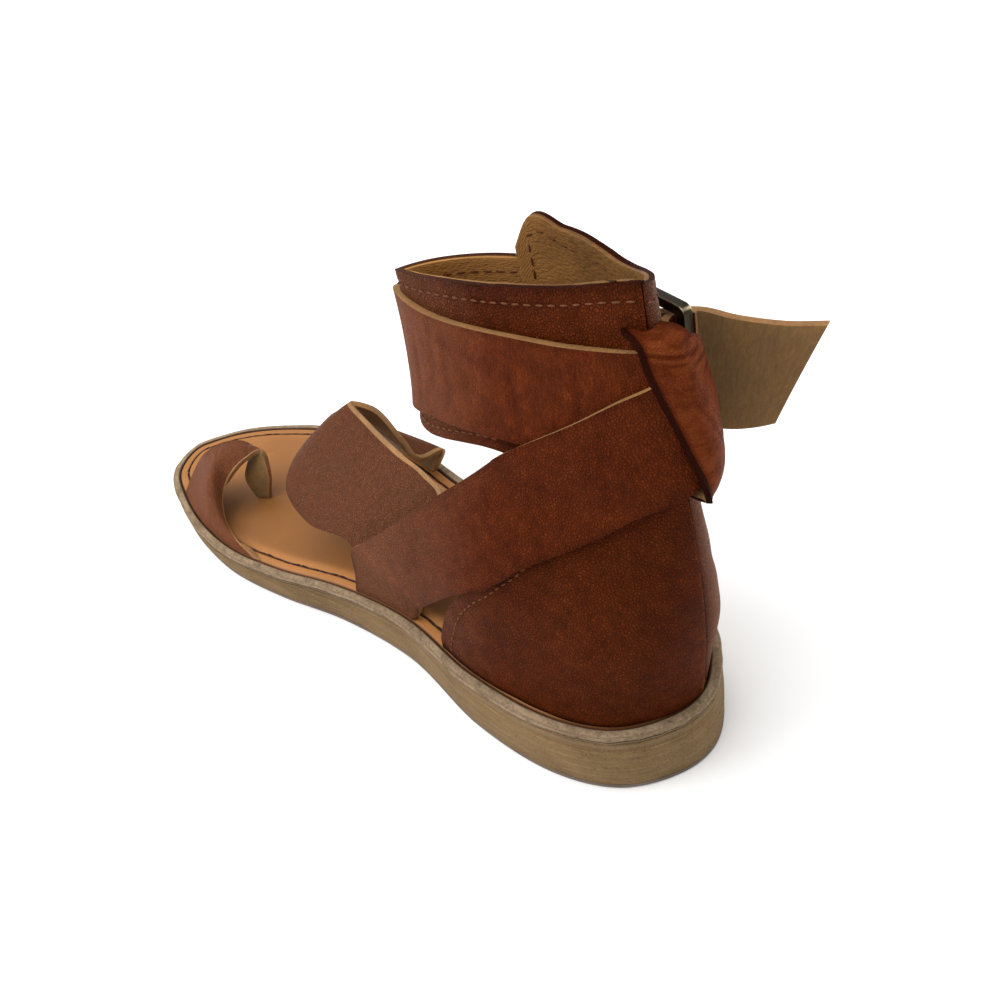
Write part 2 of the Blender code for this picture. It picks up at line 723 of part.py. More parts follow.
def wire_mesh(path, radius, sides, closed):
    """A round wire along a flat path in space: its points and faces."""
    path = [np.array(p, float) for p in path]
    count = len(path)
    normal = np.cross(path[1] - path[0], path[2] - path[1])
    normal /= np.linalg.norm(normal)
    points, faces = [], []
    for i, centre in enumerate(path):
        before = path[i - 1] if closed or i > 0 else centre
        after = path[(i + 1) % count] if closed or i < count - 1 else centre
        tangent = (after - before) / np.linalg.norm(after - before)
        side = np.cross(normal, tangent)
        for k in range(sides):
            angle = 2 * math.pi * (k + 0.5) / sides
            points.append(centre + radius * (math.cos(angle) * side + math.sin(angle) * normal))
    for i in range(count if closed else count - 1):
        for k in range(sides):
            a = i * sides + k
            b = i * sides + (k + 1) % sides
            c = (i + 1) % count * sides + (k + 1) % sides
            d = (i + 1) % count * sides + k
            faces.append((a, b, c, d))
    if not closed:
        faces.append(tuple(reversed(range(sides))))
        faces.append(tuple((count - 1) * sides + k for k in range(sides)))
    return points, faces


def buckle_span():
    """Lower and upper Z of the buckle's two end bars, clear of the straps' edges."""
    low = HEEL_HEIGHT + BAND_ROWS[-1][1] * CUFF_HEIGHT
    high = HEEL_HEIGHT + BAND_ROWS[-1][2] * CUFF_HEIGHT
    return low - BUCKLE_SLACK - BUCKLE_WIRE / 2, high + BUCKLE_SLACK + BUCKLE_WIRE / 2


def build_buckle(look):
    """Rectangular frame with rounded corners, and its prong."""
    rear = rear_bar()
    front = front_bar()
    low, high = buckle_span()
    corner = BUCKLE_CORNER
    length = math.hypot(front[0] - rear[0], front[1] - rear[1])
    path = []
    corners = ((corner, low + corner, 180), (length - corner, low + corner, 270),
               (length - corner, high - corner, 0), (corner, high - corner, 90))
    for along, z, start in corners:
        for angle in np.radians(np.linspace(start, start + 90, 5)):
            s = (along + corner * math.cos(angle)) / length
            path.append((rear[0] + (front[0] - rear[0]) * s, rear[1] + (front[1] - rear[1]) * s,
                         z + corner * math.sin(angle)))
    points, faces = wire_mesh(path, BUCKLE_WIRE / 2, 10, True)
    add_mesh("buckle_frame", points, faces, look)
    middle = (low + high) / 2
    ring = BUCKLE_WIRE / 2 + 2 * GAP + PRONG_RADIUS
    path = []
    for angle in np.radians(np.linspace(150, -18, 7)):
        path.append((rear[0] + ring * math.cos(angle), rear[1] + ring * math.sin(angle), middle))
    path.append((front[0], front[1] - ring, middle))
    path.append((front[0] + ring, front[1] - ring, middle))
    points, faces = wire_mesh(path, PRONG_RADIUS, 8, False)
    add_mesh("buckle_prong", points, faces, look)


def main():
    clear_scene()
    cognac = material("cognac_leather", (0.24, 0.085, 0.040), 0.48)
    counter = material("lined_leather", (0.16, 0.050, 0.025), 0.50)
    tan = material("insole_leather", (0.50, 0.27, 0.12), 0.62)
    stack = material("stacked_leather", (0.42, 0.29, 0.17), 0.75)
    tread = material("rubber_tread", (0.30, 0.26, 0.22), 0.85)
    strip = material("welt_leather", (0.55, 0.45, 0.36), 0.75)
    metal = material("aged_brass", (0.16, 0.14, 0.10), 0.38, 1.0)

    slab("outsole", 0.0, ground_height, lambda x: ground_height(x) + OUTSOLE_THICKNESS, tread)
    slab("wedge_midsole", 0.0, lambda x: ground_height(x) + OUTSOLE_THICKNESS + GAP,
         lambda x: seat_height(x) - WELT_THICKNESS - GAP, stack)
    rim("welt", 0.0, WELT_WIDTH, lambda x: seat_height(x) - WELT_THICKNESS, seat_height, strip)
    slab("insole", WELT_WIDTH + GAP, lambda x: seat_height(x) - WELT_THICKNESS, seat_height, tan)
    build_heel_cuff(counter)
    build_ankle_band(cognac)
    build_wrap_strap(cognac)
    build_vamp_strap(cognac)
    build_toe_loop(cognac)
    build_keeper_loop(cognac)
    build_buckle(metal)


main()
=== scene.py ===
"""Right-foot leather sandal with a toe loop, a vamp strap and a buckled ankle cuff on a stacked sole."""

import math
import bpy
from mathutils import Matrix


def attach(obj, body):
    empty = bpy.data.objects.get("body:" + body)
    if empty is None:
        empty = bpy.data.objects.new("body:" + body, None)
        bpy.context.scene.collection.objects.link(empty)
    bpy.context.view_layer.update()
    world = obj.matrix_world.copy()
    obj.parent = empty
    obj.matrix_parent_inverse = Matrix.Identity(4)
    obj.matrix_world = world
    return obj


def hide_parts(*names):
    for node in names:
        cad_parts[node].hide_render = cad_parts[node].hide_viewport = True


bl_info = {
    "name": "Leather Sandal",
    "version": (1, 0, 0),
    "blender": (4, 5, 0),
    "location": "3D View > Sidebar > Sandal",
    "description": "Makes a strappy leather sandal, its stitching and its studio stage",
    "category": "Object",
}

import bpy
import numpy as np
from bpy.props import FloatProperty, FloatVectorProperty
from mathutils import Matrix, Vector

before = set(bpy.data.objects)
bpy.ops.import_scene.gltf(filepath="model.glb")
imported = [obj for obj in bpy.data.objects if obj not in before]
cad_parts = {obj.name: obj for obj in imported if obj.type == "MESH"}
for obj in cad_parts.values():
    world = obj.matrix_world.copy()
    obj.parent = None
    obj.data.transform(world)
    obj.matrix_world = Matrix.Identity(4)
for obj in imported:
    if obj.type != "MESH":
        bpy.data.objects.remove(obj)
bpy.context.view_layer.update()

# Sole outline from heel to toe: along, width that it follows, medial and lateral half-widths
SOLE_ROWS = (
    (0.000, "heel_width", -0.020, 0.020),
    (0.012, "heel_width", 0.160, 0.185),
    (0.050, "heel_width", 0.350, 0.372),
    (0.120, "heel_width", 0.466, 0.492),
    (0.230, "heel_width", 0.488, 0.519),
    (0.380, "waist_width", 0.438, 0.562),
    (0.500, "waist_width", 0.479, 0.618),
    (0.610, "ball_width", 0.424, 0.517),
    (0.710, "ball_width", 0.463, 0.532),
    (0.800, "ball_width", 0.445, 0.468),
    (0.900, "toe_width", 0.528, 0.462),
    (0.965, "toe_width", 0.397, 0.216),
    (0.992, "toe_width", 0.241, 0.017),
    (1.000, "toe_width", 0.103, -0.103),
)

# Ankle form: up, back, front, medial, lateral, squareness
ANKLE_ROWS = (
    (0.000, 0.045, 1.375, 0.484, 0.374, 2.80),
    (0.186, 0.020, 1.300, 0.466, 0.389, 2.40),
    (0.395, 0.025, 1.225, 0.359, 0.389, 1.95),
    (0.563, 0.044, 1.163, 0.221, 0.389, 1.80),
    (0.731, 0.081, 1.138, 0.122, 0.397, 1.80),
    (0.874, 0.119, 1.131, 0.076, 0.405, 1.80),
    (1.000, 0.135, 1.125, 0.061, 0.405, 1.80),
)
BACK_SEAM = -0.069

# Heel cuff: turn, lower edge, top edge
CUFF_ROWS = (
    (-2.05, 0.560, 0.900),
    (-1.95, 0.555, 0.952),
    (-1.60, 0.550, 0.950),
    (-0.95, 0.545, 0.935),
    (-0.40, 0.545, 0.975),
    (0.00, 0.550, 1.000),
    (0.60, 0.565, 0.990),
    (1.00, 0.580, 0.965),
    (1.60, 0.597, 0.935),
    (2.47, 0.528, 0.897),
    (3.14, 0.515, 0.880),
    (4.00, 0.510, 0.865),
    (5.00, 0.510, 0.850),
)
# Counter below the cuff: up, turn of its front edge
COUNTER_ROWS = (
    (0.000, 1.80),
    (0.100, 1.79),
    (0.200, 1.74),
    (0.300, 1.58),
    (0.380, 1.38),
    (0.450, 1.25),
    (0.520, 1.28),
    (0.560, 1.50),
)
# Overlap seam at the back: up, turn
SEAM_ROWS = (
    (0.00, 0.000),
    (0.42, 0.020),
    (0.62, 0.080),
    (0.86, 0.130),
    (1.00, 0.070),
)

# Ankle band: turn, lower edge, upper edge
BAND_ROWS = (
    (0.12, 0.640, 0.885),
    (0.77, 0.646, 0.870),
    (1.53, 0.638, 0.852),
    (2.27, 0.595, 0.832),
    (2.70, 0.560, 0.834),
    (3.14, 0.547, 0.836),
    (3.70, 0.540, 0.826),
    (4.30, 0.528, 0.812),
    (4.85, 0.520, 0.802),
    (5.15, 0.516, 0.798),
)
# Band through the buckle: share of the way back, share of the rise
PASS_ROWS = ((0.20, 0.04), (0.60, 0.58))
# Band's tail: back at the lower and upper edge, outward, lower and upper edge up
TAIL_ROWS = (
    (0.00, 0.00, 0.000, 0.002, 0.000),
    (0.22, 0.30, 0.050, 0.010, -0.006),
    (0.40, 0.64, 0.100, 0.024, -0.002),
    (0.55, 0.98, 0.150, 0.042, 0.014),
)

# Wrap strap on the form: turn of its lower edge, lower edge, turn of its upper edge, upper edge
WRAP_ROWS = (
    (1.73, 0.245, 2.13, 0.410),
    (1.56, 0.300, 1.71, 0.560),
    (1.30, 0.395, 1.47, 0.626),
    (0.98, 0.472, 1.10, 0.708),
    (0.62, 0.548, 0.72, 0.783),
    (0.35, 0.584, 0.40, 0.822),
    (0.06, 0.608, 0.14, 0.845),
    (-0.20, 0.624, -0.20, 0.848),
    (-0.55, 0.580, -0.55, 0.830),
)
# Wrap strap's foot: along, across and up of its lower edge, then of its upper edge
WRAP_FOOT_ROWS = (
    (0.344, 0.352, 0.030, 0.460, 0.362, 0.060),
    (0.331, 0.360, 0.076, 0.455, 0.345, 0.150),
    (0.290, 0.386, 0.140, 0.395, 0.318, 0.240),
)
WRAP_FOOT = (0.356, 0.466)

# Vamp strap: rear along, across, up, front along, across, up, bulge
VAMP_ROWS = (
    (0.542, -0.463, 0.250, 0.740, -0.466, 0.200, 0.03),
    (0.557, -0.373, 0.245, 0.728, -0.409, 0.400, 0.05),
    (0.563, -0.319, 0.500, 0.705, -0.300, 0.560, 0.06),
    (0.569, -0.240, 0.890, 0.672, -0.120, 0.650, 0.05),
    (0.584, -0.168, 1.000, 0.664, 0.036, 0.580, 0.04),
    (0.527, -0.120, 0.935, 0.641, 0.165, 0.490, 0.05),
    (0.454, -0.072, 0.860, 0.573, 0.228, 0.340, 0.06),
    (0.394, -0.040, 0.810, 0.490, 0.214, 0.330, 0.06),
    (0.356, -0.005, 0.770, 0.474, 0.225, 0.250, 0.05),
    (0.344, 0.110, 0.460, 0.462, 0.236, 0.160, 0.04),
)
VAMP_LATERAL_FOOT = (0.565, 0.742)
VAMP_MEDIAL_FOOT = (0.359, 0.455)

# Toe loop: along, across and up of its front edge, middle and rear edge
TOE_LOOP_ROWS = (
    (0.889, 0.245, 0.42, 0.790, 0.378, 0.38, 0.702, 0.398, 0.16),
    (0.866, 0.180, 0.78, 0.800, 0.300, 0.72, 0.756, 0.345, 0.28),
    (0.836, 0.108, 0.98, 0.808, 0.205, 0.94, 0.788, 0.255, 0.52),
    (0.809, 0.048, 0.96, 0.794, 0.108, 1.00, 0.779, 0.150, 0.86),
    (0.800, 0.024, 0.78, 0.784, 0.040, 0.93, 0.768, 0.050, 0.96),
    (0.794, 0.122, 0.36, 0.775, 0.088, 0.44, 0.757, 0.054, 0.50),
    (0.785, 0.120, 0.04, 0.774, 0.104, 0.04, 0.763, 0.088, 0.04),
)
TOE_LOOP_FOOT = (0.900, 0.650)

# Keeper: up at the medial and lateral edge, turns of the two edges, bulge
KEEPER_ROWS = (
    (0.905, 0.905, 0.52, -0.16, 0.2),
    (0.860, 0.860, 0.50, -0.36, 0.8),
    (0.780, 0.785, 0.40, -0.42, 1.0),
    (0.700, 0.712, 0.28, -0.42, 1.0),
    (0.642, 0.658, 0.17, -0.38, 0.7),
    (0.592, 0.608, 0.09, -0.31, 0.1),
)

# Creases by piece: along, across, angle, half-length, half-width, depth, bend (mm, degrees, 1/m);
# a depth below 0 is a ridge
WRAP_CREASES = (
    (8, 5, 14, 7, 0.7, 0.174, 9),
    (11, 9, 22, 9, 0.7, 0.186, 10),
    (7, 13, 34, 8, 0.7, 0.161, 7),
    (13, 14, 30, 10, 0.8, 0.186, 9),
    (9, 18, 44, 7, 0.6, 0.149, 6),
    (16, 8, 16, 10, 0.9, 0.161, 8),
    (5, 22, 56, 6, 0.6, 0.124, 4),
    (13, 24, 62, 7, 0.7, 0.124, -5),
    (19, 19, 46, 9, 0.9, 0.124, -5),
    (20, 16, 88, 19, 5.0, -0.45, 4),
    (34, 12, 18, 12, 1.8, 0.14, 5),
    (92, 16, 84, 9, 1.3, 0.08, 3),
    (126, 14, 88, 10, 1.3, 0.14, 4),
)
VAMP_CREASES = (
    (86, 9, 74, 7, 0.6, 0.09, 8),
    (91, 14, 82, 8, 0.6, 0.10, -7),
    (96, 11, 76, 7, 0.7, 0.11, 8),
    (101, 17, 84, 8, 0.6, 0.10, -6),
    (106, 12, 80, 7, 0.6, 0.12, 7),
    (111, 18, 88, 8, 0.7, 0.11, 6),
    (116, 13, 82, 7, 0.6, 0.12, -6),
    (70, 21, 60, 6, 0.8, 0.08, 6),
    (77, 25, 66, 7, 0.8, 0.08, -5),
    (28, 14, 92, 11, 1.4, 0.22, 3),
    (19, 18, 86, 10, 1.4, 0.30, -3),
    (47, 12, 84, 10, 1.6, 0.10, 3),
)
BAND_CREASES = (
    (64, 14, 88, 12, 1.6, 0.14, 2),
    (71, 18, 94, 10, 1.4, 0.16, -2),
    (79, 12, 86, 11, 1.5, 0.18, 2),
    (88, 17, 92, 12, 1.4, 0.16, -3),
    (40, 10, 80, 9, 1.5, 0.12, 3),
    (22, 15, 96, 10, 1.5, 0.14, 2),
    (112, 15, 90, 12, 1.6, 0.20, 2),
)
KEEPER_CREASES = (
    (10, 6, 80, 7, 0.6, 0.20, 9),
    (12, 12, 96, 6, 0.5, 0.16, -8),
    (15, 16, 74, 6, 0.5, 0.20, 8),
    (18, 19, 82, 5, 0.5, 0.18, 6),
    (21, 20, 88, 5, 0.5, 0.16, -6),
    (25, 19, 94, 5, 0.5, 0.14, 5),
    (8, 15, 86, 6, 0.5, 0.18, 6),
    (30, 9, 12, 8, 0.8, 0.12, 4),
    (36, 12, 6, 7, 0.8, 0.12, -4),
)
TOE_CREASES = (
    (16, 14, 88, 8, 1.2, 0.14, 3),
    (30, 8, 84, 7, 1.0, 0.14, -3),
    (44, 6, 90, 6, 0.9, 0.20, 3),
)


def shade(red, green, blue):
    """A linear colour from its screen values."""
    values = [channel / 255 for channel in (red, green, blue)]
    return tuple(v / 12.92 if v <= 0.04045 else ((v + 0.055) / 1.055) ** 2.4 for v in values)


def length(name, size, note):
    return FloatProperty(name=name, description=note, default=size, unit="LENGTH", precision=4)


def colour(name, values, note):
    return FloatVectorProperty(name=name, description=note, default=shade(*values), subtype="COLOR", min=0,
                               max=1)


class SandalSizes(bpy.types.PropertyGroup):
    sole_length: length("Sole length", 0.262, "Heel to toe, outside")
    ball_width: length("Ball width", 0.0832, "Sole across the ball")
    waist_width: length("Waist width", 0.0605, "Sole across the arch")
    heel_width: length("Heel width", 0.0655, "Sole across the heel")
    toe_width: length("Toe width", 0.0580, "Sole across the toes")
    heel_height: length("Heel height", 0.0229, "Floor to the top of the sole at the heel")
    ball_height: length("Ball height", 0.0130, "Floor to the top of the sole at the ball")
    toe_height: length("Toe height", 0.0057, "Thickness of the sole at the toe")
    toe_spring: length("Toe spring", 0.0045, "Lift of the toe off the floor")
    heel_rest: length("Heel rest", 0.0340, "Back of the heel to the origin")
    outsole: length("Outsole", 0.0014, "Thickness of the tread layer")
    welt_thickness: length("Welt thickness", 0.0026, "Height of the welt")
    welt_width: length("Welt width", 0.0030, "Width of the welt's top face")
    cuff_height: length("Cuff height", 0.1191, "Heel seat to the top of the cuff")
    cuff_length: length("Cuff length", 0.0800, "Back to front of the cuff")
    wall: length("Cuff wall", 0.0024, "Leather and lining together")
    lining: length("Lining", 0.0009, "Thickness of the cuff's lining")
    strap: length("Strap", 0.0020, "Thickness of the straps")
    keeper: length("Keeper", 0.0014, "Thickness of the keeper")
    keeper_bulge: length("Keeper bulge", 0.0022, "How far the keeper stands off the straps")
    vamp_height: length("Vamp height", 0.0460, "Insole to the vamp strap's ridge")
    toe_loop_height: length("Toe loop height", 0.0215, "Insole to the toe loop's crown")
    tail: length("Tail", 0.0300, "Band's free end behind the buckle")
    flap_step: length("Flap step", 0.0034, "How far the inner flap lies inside the outer one")
    buckle_wire: length("Buckle bar", 0.0028, "Thickness of the buckle's bars")
    buckle_length: length("Buckle length", 0.0145, "Front to rear bar, outside")
    buckle_slack: length("Buckle slack", 0.0012, "Room between strap edge and end bars")
    buckle_lean: length("Buckle lean", 0.0030, "How far the rear bar lies inside the front bar")
    prong: length("Prong radius", 0.0009, "Radius of the prong")
    gap: length("Gap", 0.0003, "Clearance between touching pieces")
    ply_gap: length("Ply gap", 0.0005, "Clearance between layers of leather")
    stitch_pitch: length("Stitch pitch", 0.0034, "One stitch to the next")


class SandalColours(bpy.types.PropertyGroup):
    cognac_deep: colour("Cognac, deep", (58, 19, 5), "Straps in the grain and creases")
    cognac: colour("Cognac", (100, 42, 14), "Straps")
    cognac_light: colour("Cognac, rubbed", (130, 68, 34), "Straps where rubbed")
    heel_deep: colour("Heel, deep", (58, 19, 4), "Counter in the grain")
    heel: colour("Heel leather", (94, 40, 12), "Counter and cuff")
    heel_light: colour("Heel, rubbed", (122, 64, 28), "Counter where rubbed")
    # Partly the leather's real dry bloom, partly painted sheen: the paler colour toward the toe and on the
    # lateral side
    bloom_and_sheen: colour("Dry bloom", (134, 90, 66), "Straps where the leather is paler toward the toe")
    raw_edge: colour("Raw edge", (156, 110, 58), "Cut edges of the straps")
    flesh: colour("Flesh side", (126, 90, 40), "Inside of the straps")
    lining: colour("Lining", (118, 82, 42), "Inside of the cuff")
    insole: colour("Insole", (166, 110, 58), "Foot bed")
    welt: colour("Welt", (128, 110, 88), "Rough strip round the edge")
    stack: colour("Stacked leather", (126, 101, 66), "Sole's layers")
    tread: colour("Tread", (112, 98, 84), "Bottom layer")
    brass: colour("Aged brass", (62, 56, 44), "Buckle")
    brass_worn: colour("Worn brass", (176, 160, 128), "Buckle's rubbed edges")
    thread: colour("Cuff thread", (104, 62, 36), "Stitches on the cuff")
    dark_thread: colour("Insole thread", (48, 24, 13), "Stitches on the insole")
    floor: colour("Floor", (252, 252, 252), "Studio floor")


def sizes():
    return bpy.context.scene.sandal_sizes


def paints():
    return bpy.context.scene.sandal_colours


# Curves and forms

def rise(value, start, end):
    """Climb smoothly from 0 at start to 1 at end."""
    share = np.clip((np.asarray(value, float) - start) / (end - start), 0, 1)
    return share * share * (3 - 2 * share)


def bell(value, middle, half, power=2):
    """A bump of 1 at its middle that falls off over its half-width, more squarely at a higher power."""
    return np.exp(-((value - middle) / half) ** power)


def blend(low, high, share):
    return low + (high - low) * share


def curve_through(knots, values, places):
    """A smooth curve through a table's rows, read at an array of places."""
    knots = np.asarray(knots, float)
    values = np.asarray(values, float)
    places = np.clip(np.asarray(places, float), knots[0], knots[-1])
    wide = (-1,) + (1,) * (values.ndim - 1)
    step = np.diff(knots)
    slope = np.diff(values, axis=0) / step.reshape(wide)
    lean = np.empty_like(values)
    lean[0], lean[-1] = slope[0], slope[-1]
    before, after = step[:-1].reshape(wide), step[1:].reshape(wide)
    lean[1:-1] = (slope[:-1] * after + slope[1:] * before) / (before + after)
    i = np.clip(np.searchsorted(knots, places, side="right") - 1, 0, len(knots) - 2)
    t = (places - knots[i]) / step[i]
    shape = places.shape + (1,) * (values.ndim - 1)
    t, span = t.reshape(shape), step[i].reshape(shape)
    near = (1 + 2 * t) * (1 - t) ** 2 * values[i] + t * (1 - t) ** 2 * span * lean[i]
    far = t * t * (3 - 2 * t) * values[i + 1] + t * t * (t - 1) * span * lean[i + 1]
    return near + far


def read_table(rows, places):
    """Every column but the first, as curves over the first."""
    return np.moveaxis(curve_through([r[0] for r in rows], [r[1:] for r in rows], places), -1, 0)


def ground_height(x):
    share = np.asarray(x, float) / sizes().sole_length
    return sizes().toe_spring * np.maximum((share - 0.69) / 0.31, 0) ** 1.8


def seat_height(x):
    """Top of the insole and the welt, x being measured from the heel's back."""
    size = sizes()
    middle = (size.heel_height + size.ball_height) / 2
    front = (size.ball_height + size.toe_height) / 2
    heights = (size.heel_height, size.heel_height, middle, size.ball_height, front, size.toe_height)
    share = np.asarray(x, float) / size.sole_length
    return curve_through((0, 0.18, 0.38, 0.58, 0.80, 1), heights, share) + ground_height(x)


def half_width(share, side):
    knots = [math.acos(1 - 2 * row[0]) for row in SOLE_ROWS]
    widths = [getattr(sizes(), row[1]) * row[2 + side] for row in SOLE_ROWS]
    return curve_through(knots, widths, np.arccos(np.clip(1 - 2 * share, -1, 1)))


def sole_ring(inset, draw=0.0, count=120):
    """Closed outline of the sole moved inward, from the heel by the medial side; draw pulls it together."""
    share = 0.5 * (1 - np.cos(np.pi * np.arange(count + 1) / count))
    x = share * sizes().sole_length
    medial = np.stack([x, half_width(share, 0)], 1)
    lateral = np.stack([x, -half_width(share, 1)], 1)
    loop = np.concatenate([medial, lateral[-2:0:-1]])
    ahead = np.roll(loop, -1, 0) - np.roll(loop, 1, 0)
    ahead /= np.linalg.norm(ahead, axis=1, keepdims=True)
    loop = loop + inset * np.stack([ahead[:, 1], -ahead[:, 0]], 1)
    other = np.roll(loop[::-1], 1, 0)
    middle = (loop + other) / 2
    loop = loop + (middle - loop) * draw
    return np.concatenate([loop, loop[:1]])


def edge_across(x, inset, side):
    """Y of the sole's inset edge at x; side is 0 for medial, 1 for lateral."""
    ring = sole_ring(inset)
    half = len(ring) // 2
    line = ring[:half + 1] if side == 0 else ring[:half - 1:-1]
    return np.interp(x, line[:, 0], line[:, 1])


def ankle_point(turn, up, lift):
    """Points on the ankle form: turn is 0 at the back seam and pi at the front by the medial side."""
    size = sizes()
    turn, up, lift = np.broadcast_arrays(np.asarray(turn, float), up, lift)
    back, front, medial, lateral, square = read_table(ANKLE_ROWS, up)
    back = back * size.cuff_length - lift
    front = front * size.cuff_length + lift
    cos, sin = np.cos(turn), np.sin(turn)
    half = np.where(sin > 0, medial, lateral) * size.heel_width + lift
    power = 2 / square
    x = (back + front) / 2 - (front - back) / 2 * np.sign(cos) * np.abs(cos) ** power
    y = BACK_SEAM * size.heel_width + half * np.sign(sin) * np.abs(sin) ** power
    return np.stack([x, y, size.heel_height + up * size.cuff_height], -1)


def resample(rows, count, ahead=None):
    """Rows of points read evenly by length from a smooth surface through the given rows."""
    data = np.array(rows, float)
    whole = data if ahead is None else np.concatenate([data, [ahead]])
    steps = np.linalg.norm(np.diff(whole, axis=0), axis=2).mean(axis=1)
    knots = np.concatenate([[0], np.cumsum(steps)])
    end = knots[len(data) - 1]
    return curve_through(knots, whole, np.linspace(0, end, count))


def grid_normals(points, outward):
    along = np.gradient(points, axis=0)
    across = np.gradient(points, axis=1)
    normals = np.cross(along, across)
    normals /= np.maximum(np.linalg.norm(normals, axis=2, keepdims=True), 1e-12)
    middle = normals[len(points) // 2, points.shape[1] // 2]
    return normals if middle @ np.array(outward, float) > 0 else -normals


def strap_lengths(points):
    """Distance along and across a strap at each of its points."""
    along = np.linalg.norm(np.diff(points, axis=0), axis=2).mean(axis=1)
    along = np.concatenate([[0], np.cumsum(along)])[:, None] * np.ones(points.shape[1])
    across = np.linalg.norm(np.diff(points, axis=1), axis=2)
    across = np.concatenate([np.zeros((len(points), 1)), np.cumsum(across, axis=1)], axis=1)
    return along, across


def waves(points, pitch, seed):
    """Soft uneven waves in space, from -1 to 1."""
    draw = np.random.RandomState(seed)
    total = np.zeros(points.shape[:-1])
    for _ in range(7):
        way = draw.normal(size=3)
        way /= np.linalg.norm(way)
        total += np.sin(points @ way * 2 * np.pi / (pitch * draw.uniform(0.7, 1.5)) + draw.uniform(0, 6.28))
    return total / 3.5


# Ridges beside a crease: their place in half-widths and their share of its depth; the depth of full tone (m)
RIDGE_PLACE = 1.7
RIDGE_HEIGHT = 0.45
FULL_TONE_DEPTH = 0.0004


def crease(points, outward, rows, soften, pitch, seed):
    """Press creases into a strap; returns its new points and its tone: darker in the crease valleys as
    painted shade, rubbed paler on the ridges beside them.
    """
    normals = grid_normals(points, outward)
    along, across = strap_lengths(points)
    total = np.zeros(along.shape)
    for s, t, angle, reach, width, depth, bend in rows:
        angle = math.radians(angle)
        ds, dt = along - s / 1000, across - t / 1000
        run = ds * math.cos(angle) + dt * math.sin(angle)
        off = -ds * math.sin(angle) + dt * math.cos(angle) + bend * run * run
        fade = bell(run, 0, reach / 1000, 4)
        wide = width / 1000
        ridge = bell(off, RIDGE_PLACE * wide, wide) + bell(off, -RIDGE_PLACE * wide, wide)
        total += depth / 1000 * fade * (RIDGE_HEIGHT * ridge - bell(off, 0, wide))
    tone = np.clip(total / FULL_TONE_DEPTH, -0.5, 1)
    total = total + soften * waves(points, pitch, seed)
    return points + normals * total[..., None], tone


# Modelling

WELD_DISTANCE = 0.000002
# Material slot of a thickened sheet's cut edge
EDGE_SLOT = 2


def deselect():
    if bpy.context.object and bpy.context.object.mode != "OBJECT":
        bpy.ops.object.mode_set(mode="OBJECT")
    bpy.ops.object.select_all(action="DESELECT")


def pick(piece):
    """Make a piece the only one selected, and active."""
    deselect()
    bpy.context.view_layer.objects.active = piece
    piece.select_set(True)


def flip_faces():
    """Turn the active piece's faces over."""
    bpy.ops.object.mode_set(mode="EDIT")
    bpy.ops.mesh.select_all(action="SELECT")
    bpy.ops.mesh.flip_normals()
    bpy.ops.object.mode_set(mode="OBJECT")


def grid_piece(name, points, outward=None, tone=None, weld=False):
    """A grid primitive laid over rows of points, with its lengths as its UV map."""
    rows, columns = points.shape[:2]
    deselect()
    bpy.ops.mesh.primitive_grid_add(x_subdivisions=rows - 1, y_subdivisions=columns - 1, size=1)
    piece = bpy.context.object
    piece.name = piece.data.name = name
    flat = np.empty(len(piece.data.vertices) * 3)
    piece.data.vertices.foreach_get("co", flat)
    flat = flat.reshape(-1, 3)
    i = np.rint((flat[:, 0] + 0.5) * (rows - 1)).astype(int)
    j = np.rint((flat[:, 1] + 0.5) * (columns - 1)).astype(int)
    place = points[i, j] - np.array((sizes().heel_rest, 0, 0))
    piece.data.vertices.foreach_set("co", place.ravel())
    along, across = strap_lengths(points)
    corner = np.empty(len(piece.data.loops), int)
    piece.data.loops.foreach_get("vertex_index", corner)
    plan = np.stack([along[i, j][corner], across[i, j][corner]], 1)
    piece.data.uv_layers[0].data.foreach_set("uv", plan.ravel())
    shaded = piece.data.attributes.new("tone", "FLOAT", "POINT")
    shaded.data.foreach_set("value", np.zeros(len(flat)) if tone is None else tone[i, j])
    piece.data.update()
    if weld:
        bpy.ops.object.mode_set(mode="EDIT")
        bpy.ops.mesh.select_all(action="SELECT")
        bpy.ops.mesh.remove_doubles(threshold=WELD_DISTANCE)
        bpy.ops.mesh.normals_make_consistent(inside=False)
        bpy.ops.object.mode_set(mode="OBJECT")
    elif outward is not None:
        normals = grid_normals(points, outward)
        middle = piece.data.polygons[len(piece.data.polygons) // 2]
        k = middle.vertices[0]
        if middle.normal @ Vector(normals[i[k], j[k]]) < 0:
            flip_faces()
    return piece


def apply_modifier(piece, kind, name, **settings):
    modifier = piece.modifiers.new(name, kind)
    for key, value in settings.items():
        setattr(modifier, key, value)
    bpy.context.view_layer.objects.active = piece
    piece.select_set(True)
    bpy.ops.object.modifier_apply(modifier=modifier.name)


def thicken(piece, thickness, looks, round_off=0.0003):
    """Give a sheet its thickness inward, its flesh side and its cut edge, and round the edges off."""
    for finish in looks:
        piece.data.materials.append(look(finish))
    apply_modifier(piece, "SOLIDIFY", "thickness", thickness=thickness, offset=-1.0, use_rim=True,
                   use_even_offset=True, thickness_clamp=0.0, material_offset=1,
                   material_offset_rim=EDGE_SLOT)
    apply_modifier(piece, "BEVEL", "rounded edges", width=round_off, segments=2, limit_method="ANGLE",
                   angle_limit=math.radians(55), use_clamp_overlap=True, material=EDGE_SLOT)


def bare_edge(piece, rows, first, last):
    """Give the cells between two columns of a strap's sheet the look of its cut edge."""
    for face in piece.data.polygons:
        column = min(face.vertices) // rows
        if first <= column < last:
            face.material_index = EDGE_SLOT


def finish_piece(piece, nodes=(), angle=45, finish=None):
    """Material, smooth shading, the body that it rides on and the model's nodes that it stands for."""
    if finish:
        piece.data.materials.append(look(finish))
    pick(piece)
    bpy.ops.object.shade_smooth_by_angle(angle=math.radians(angle))
    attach(piece, "root")
    if nodes:
        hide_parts(*nodes)


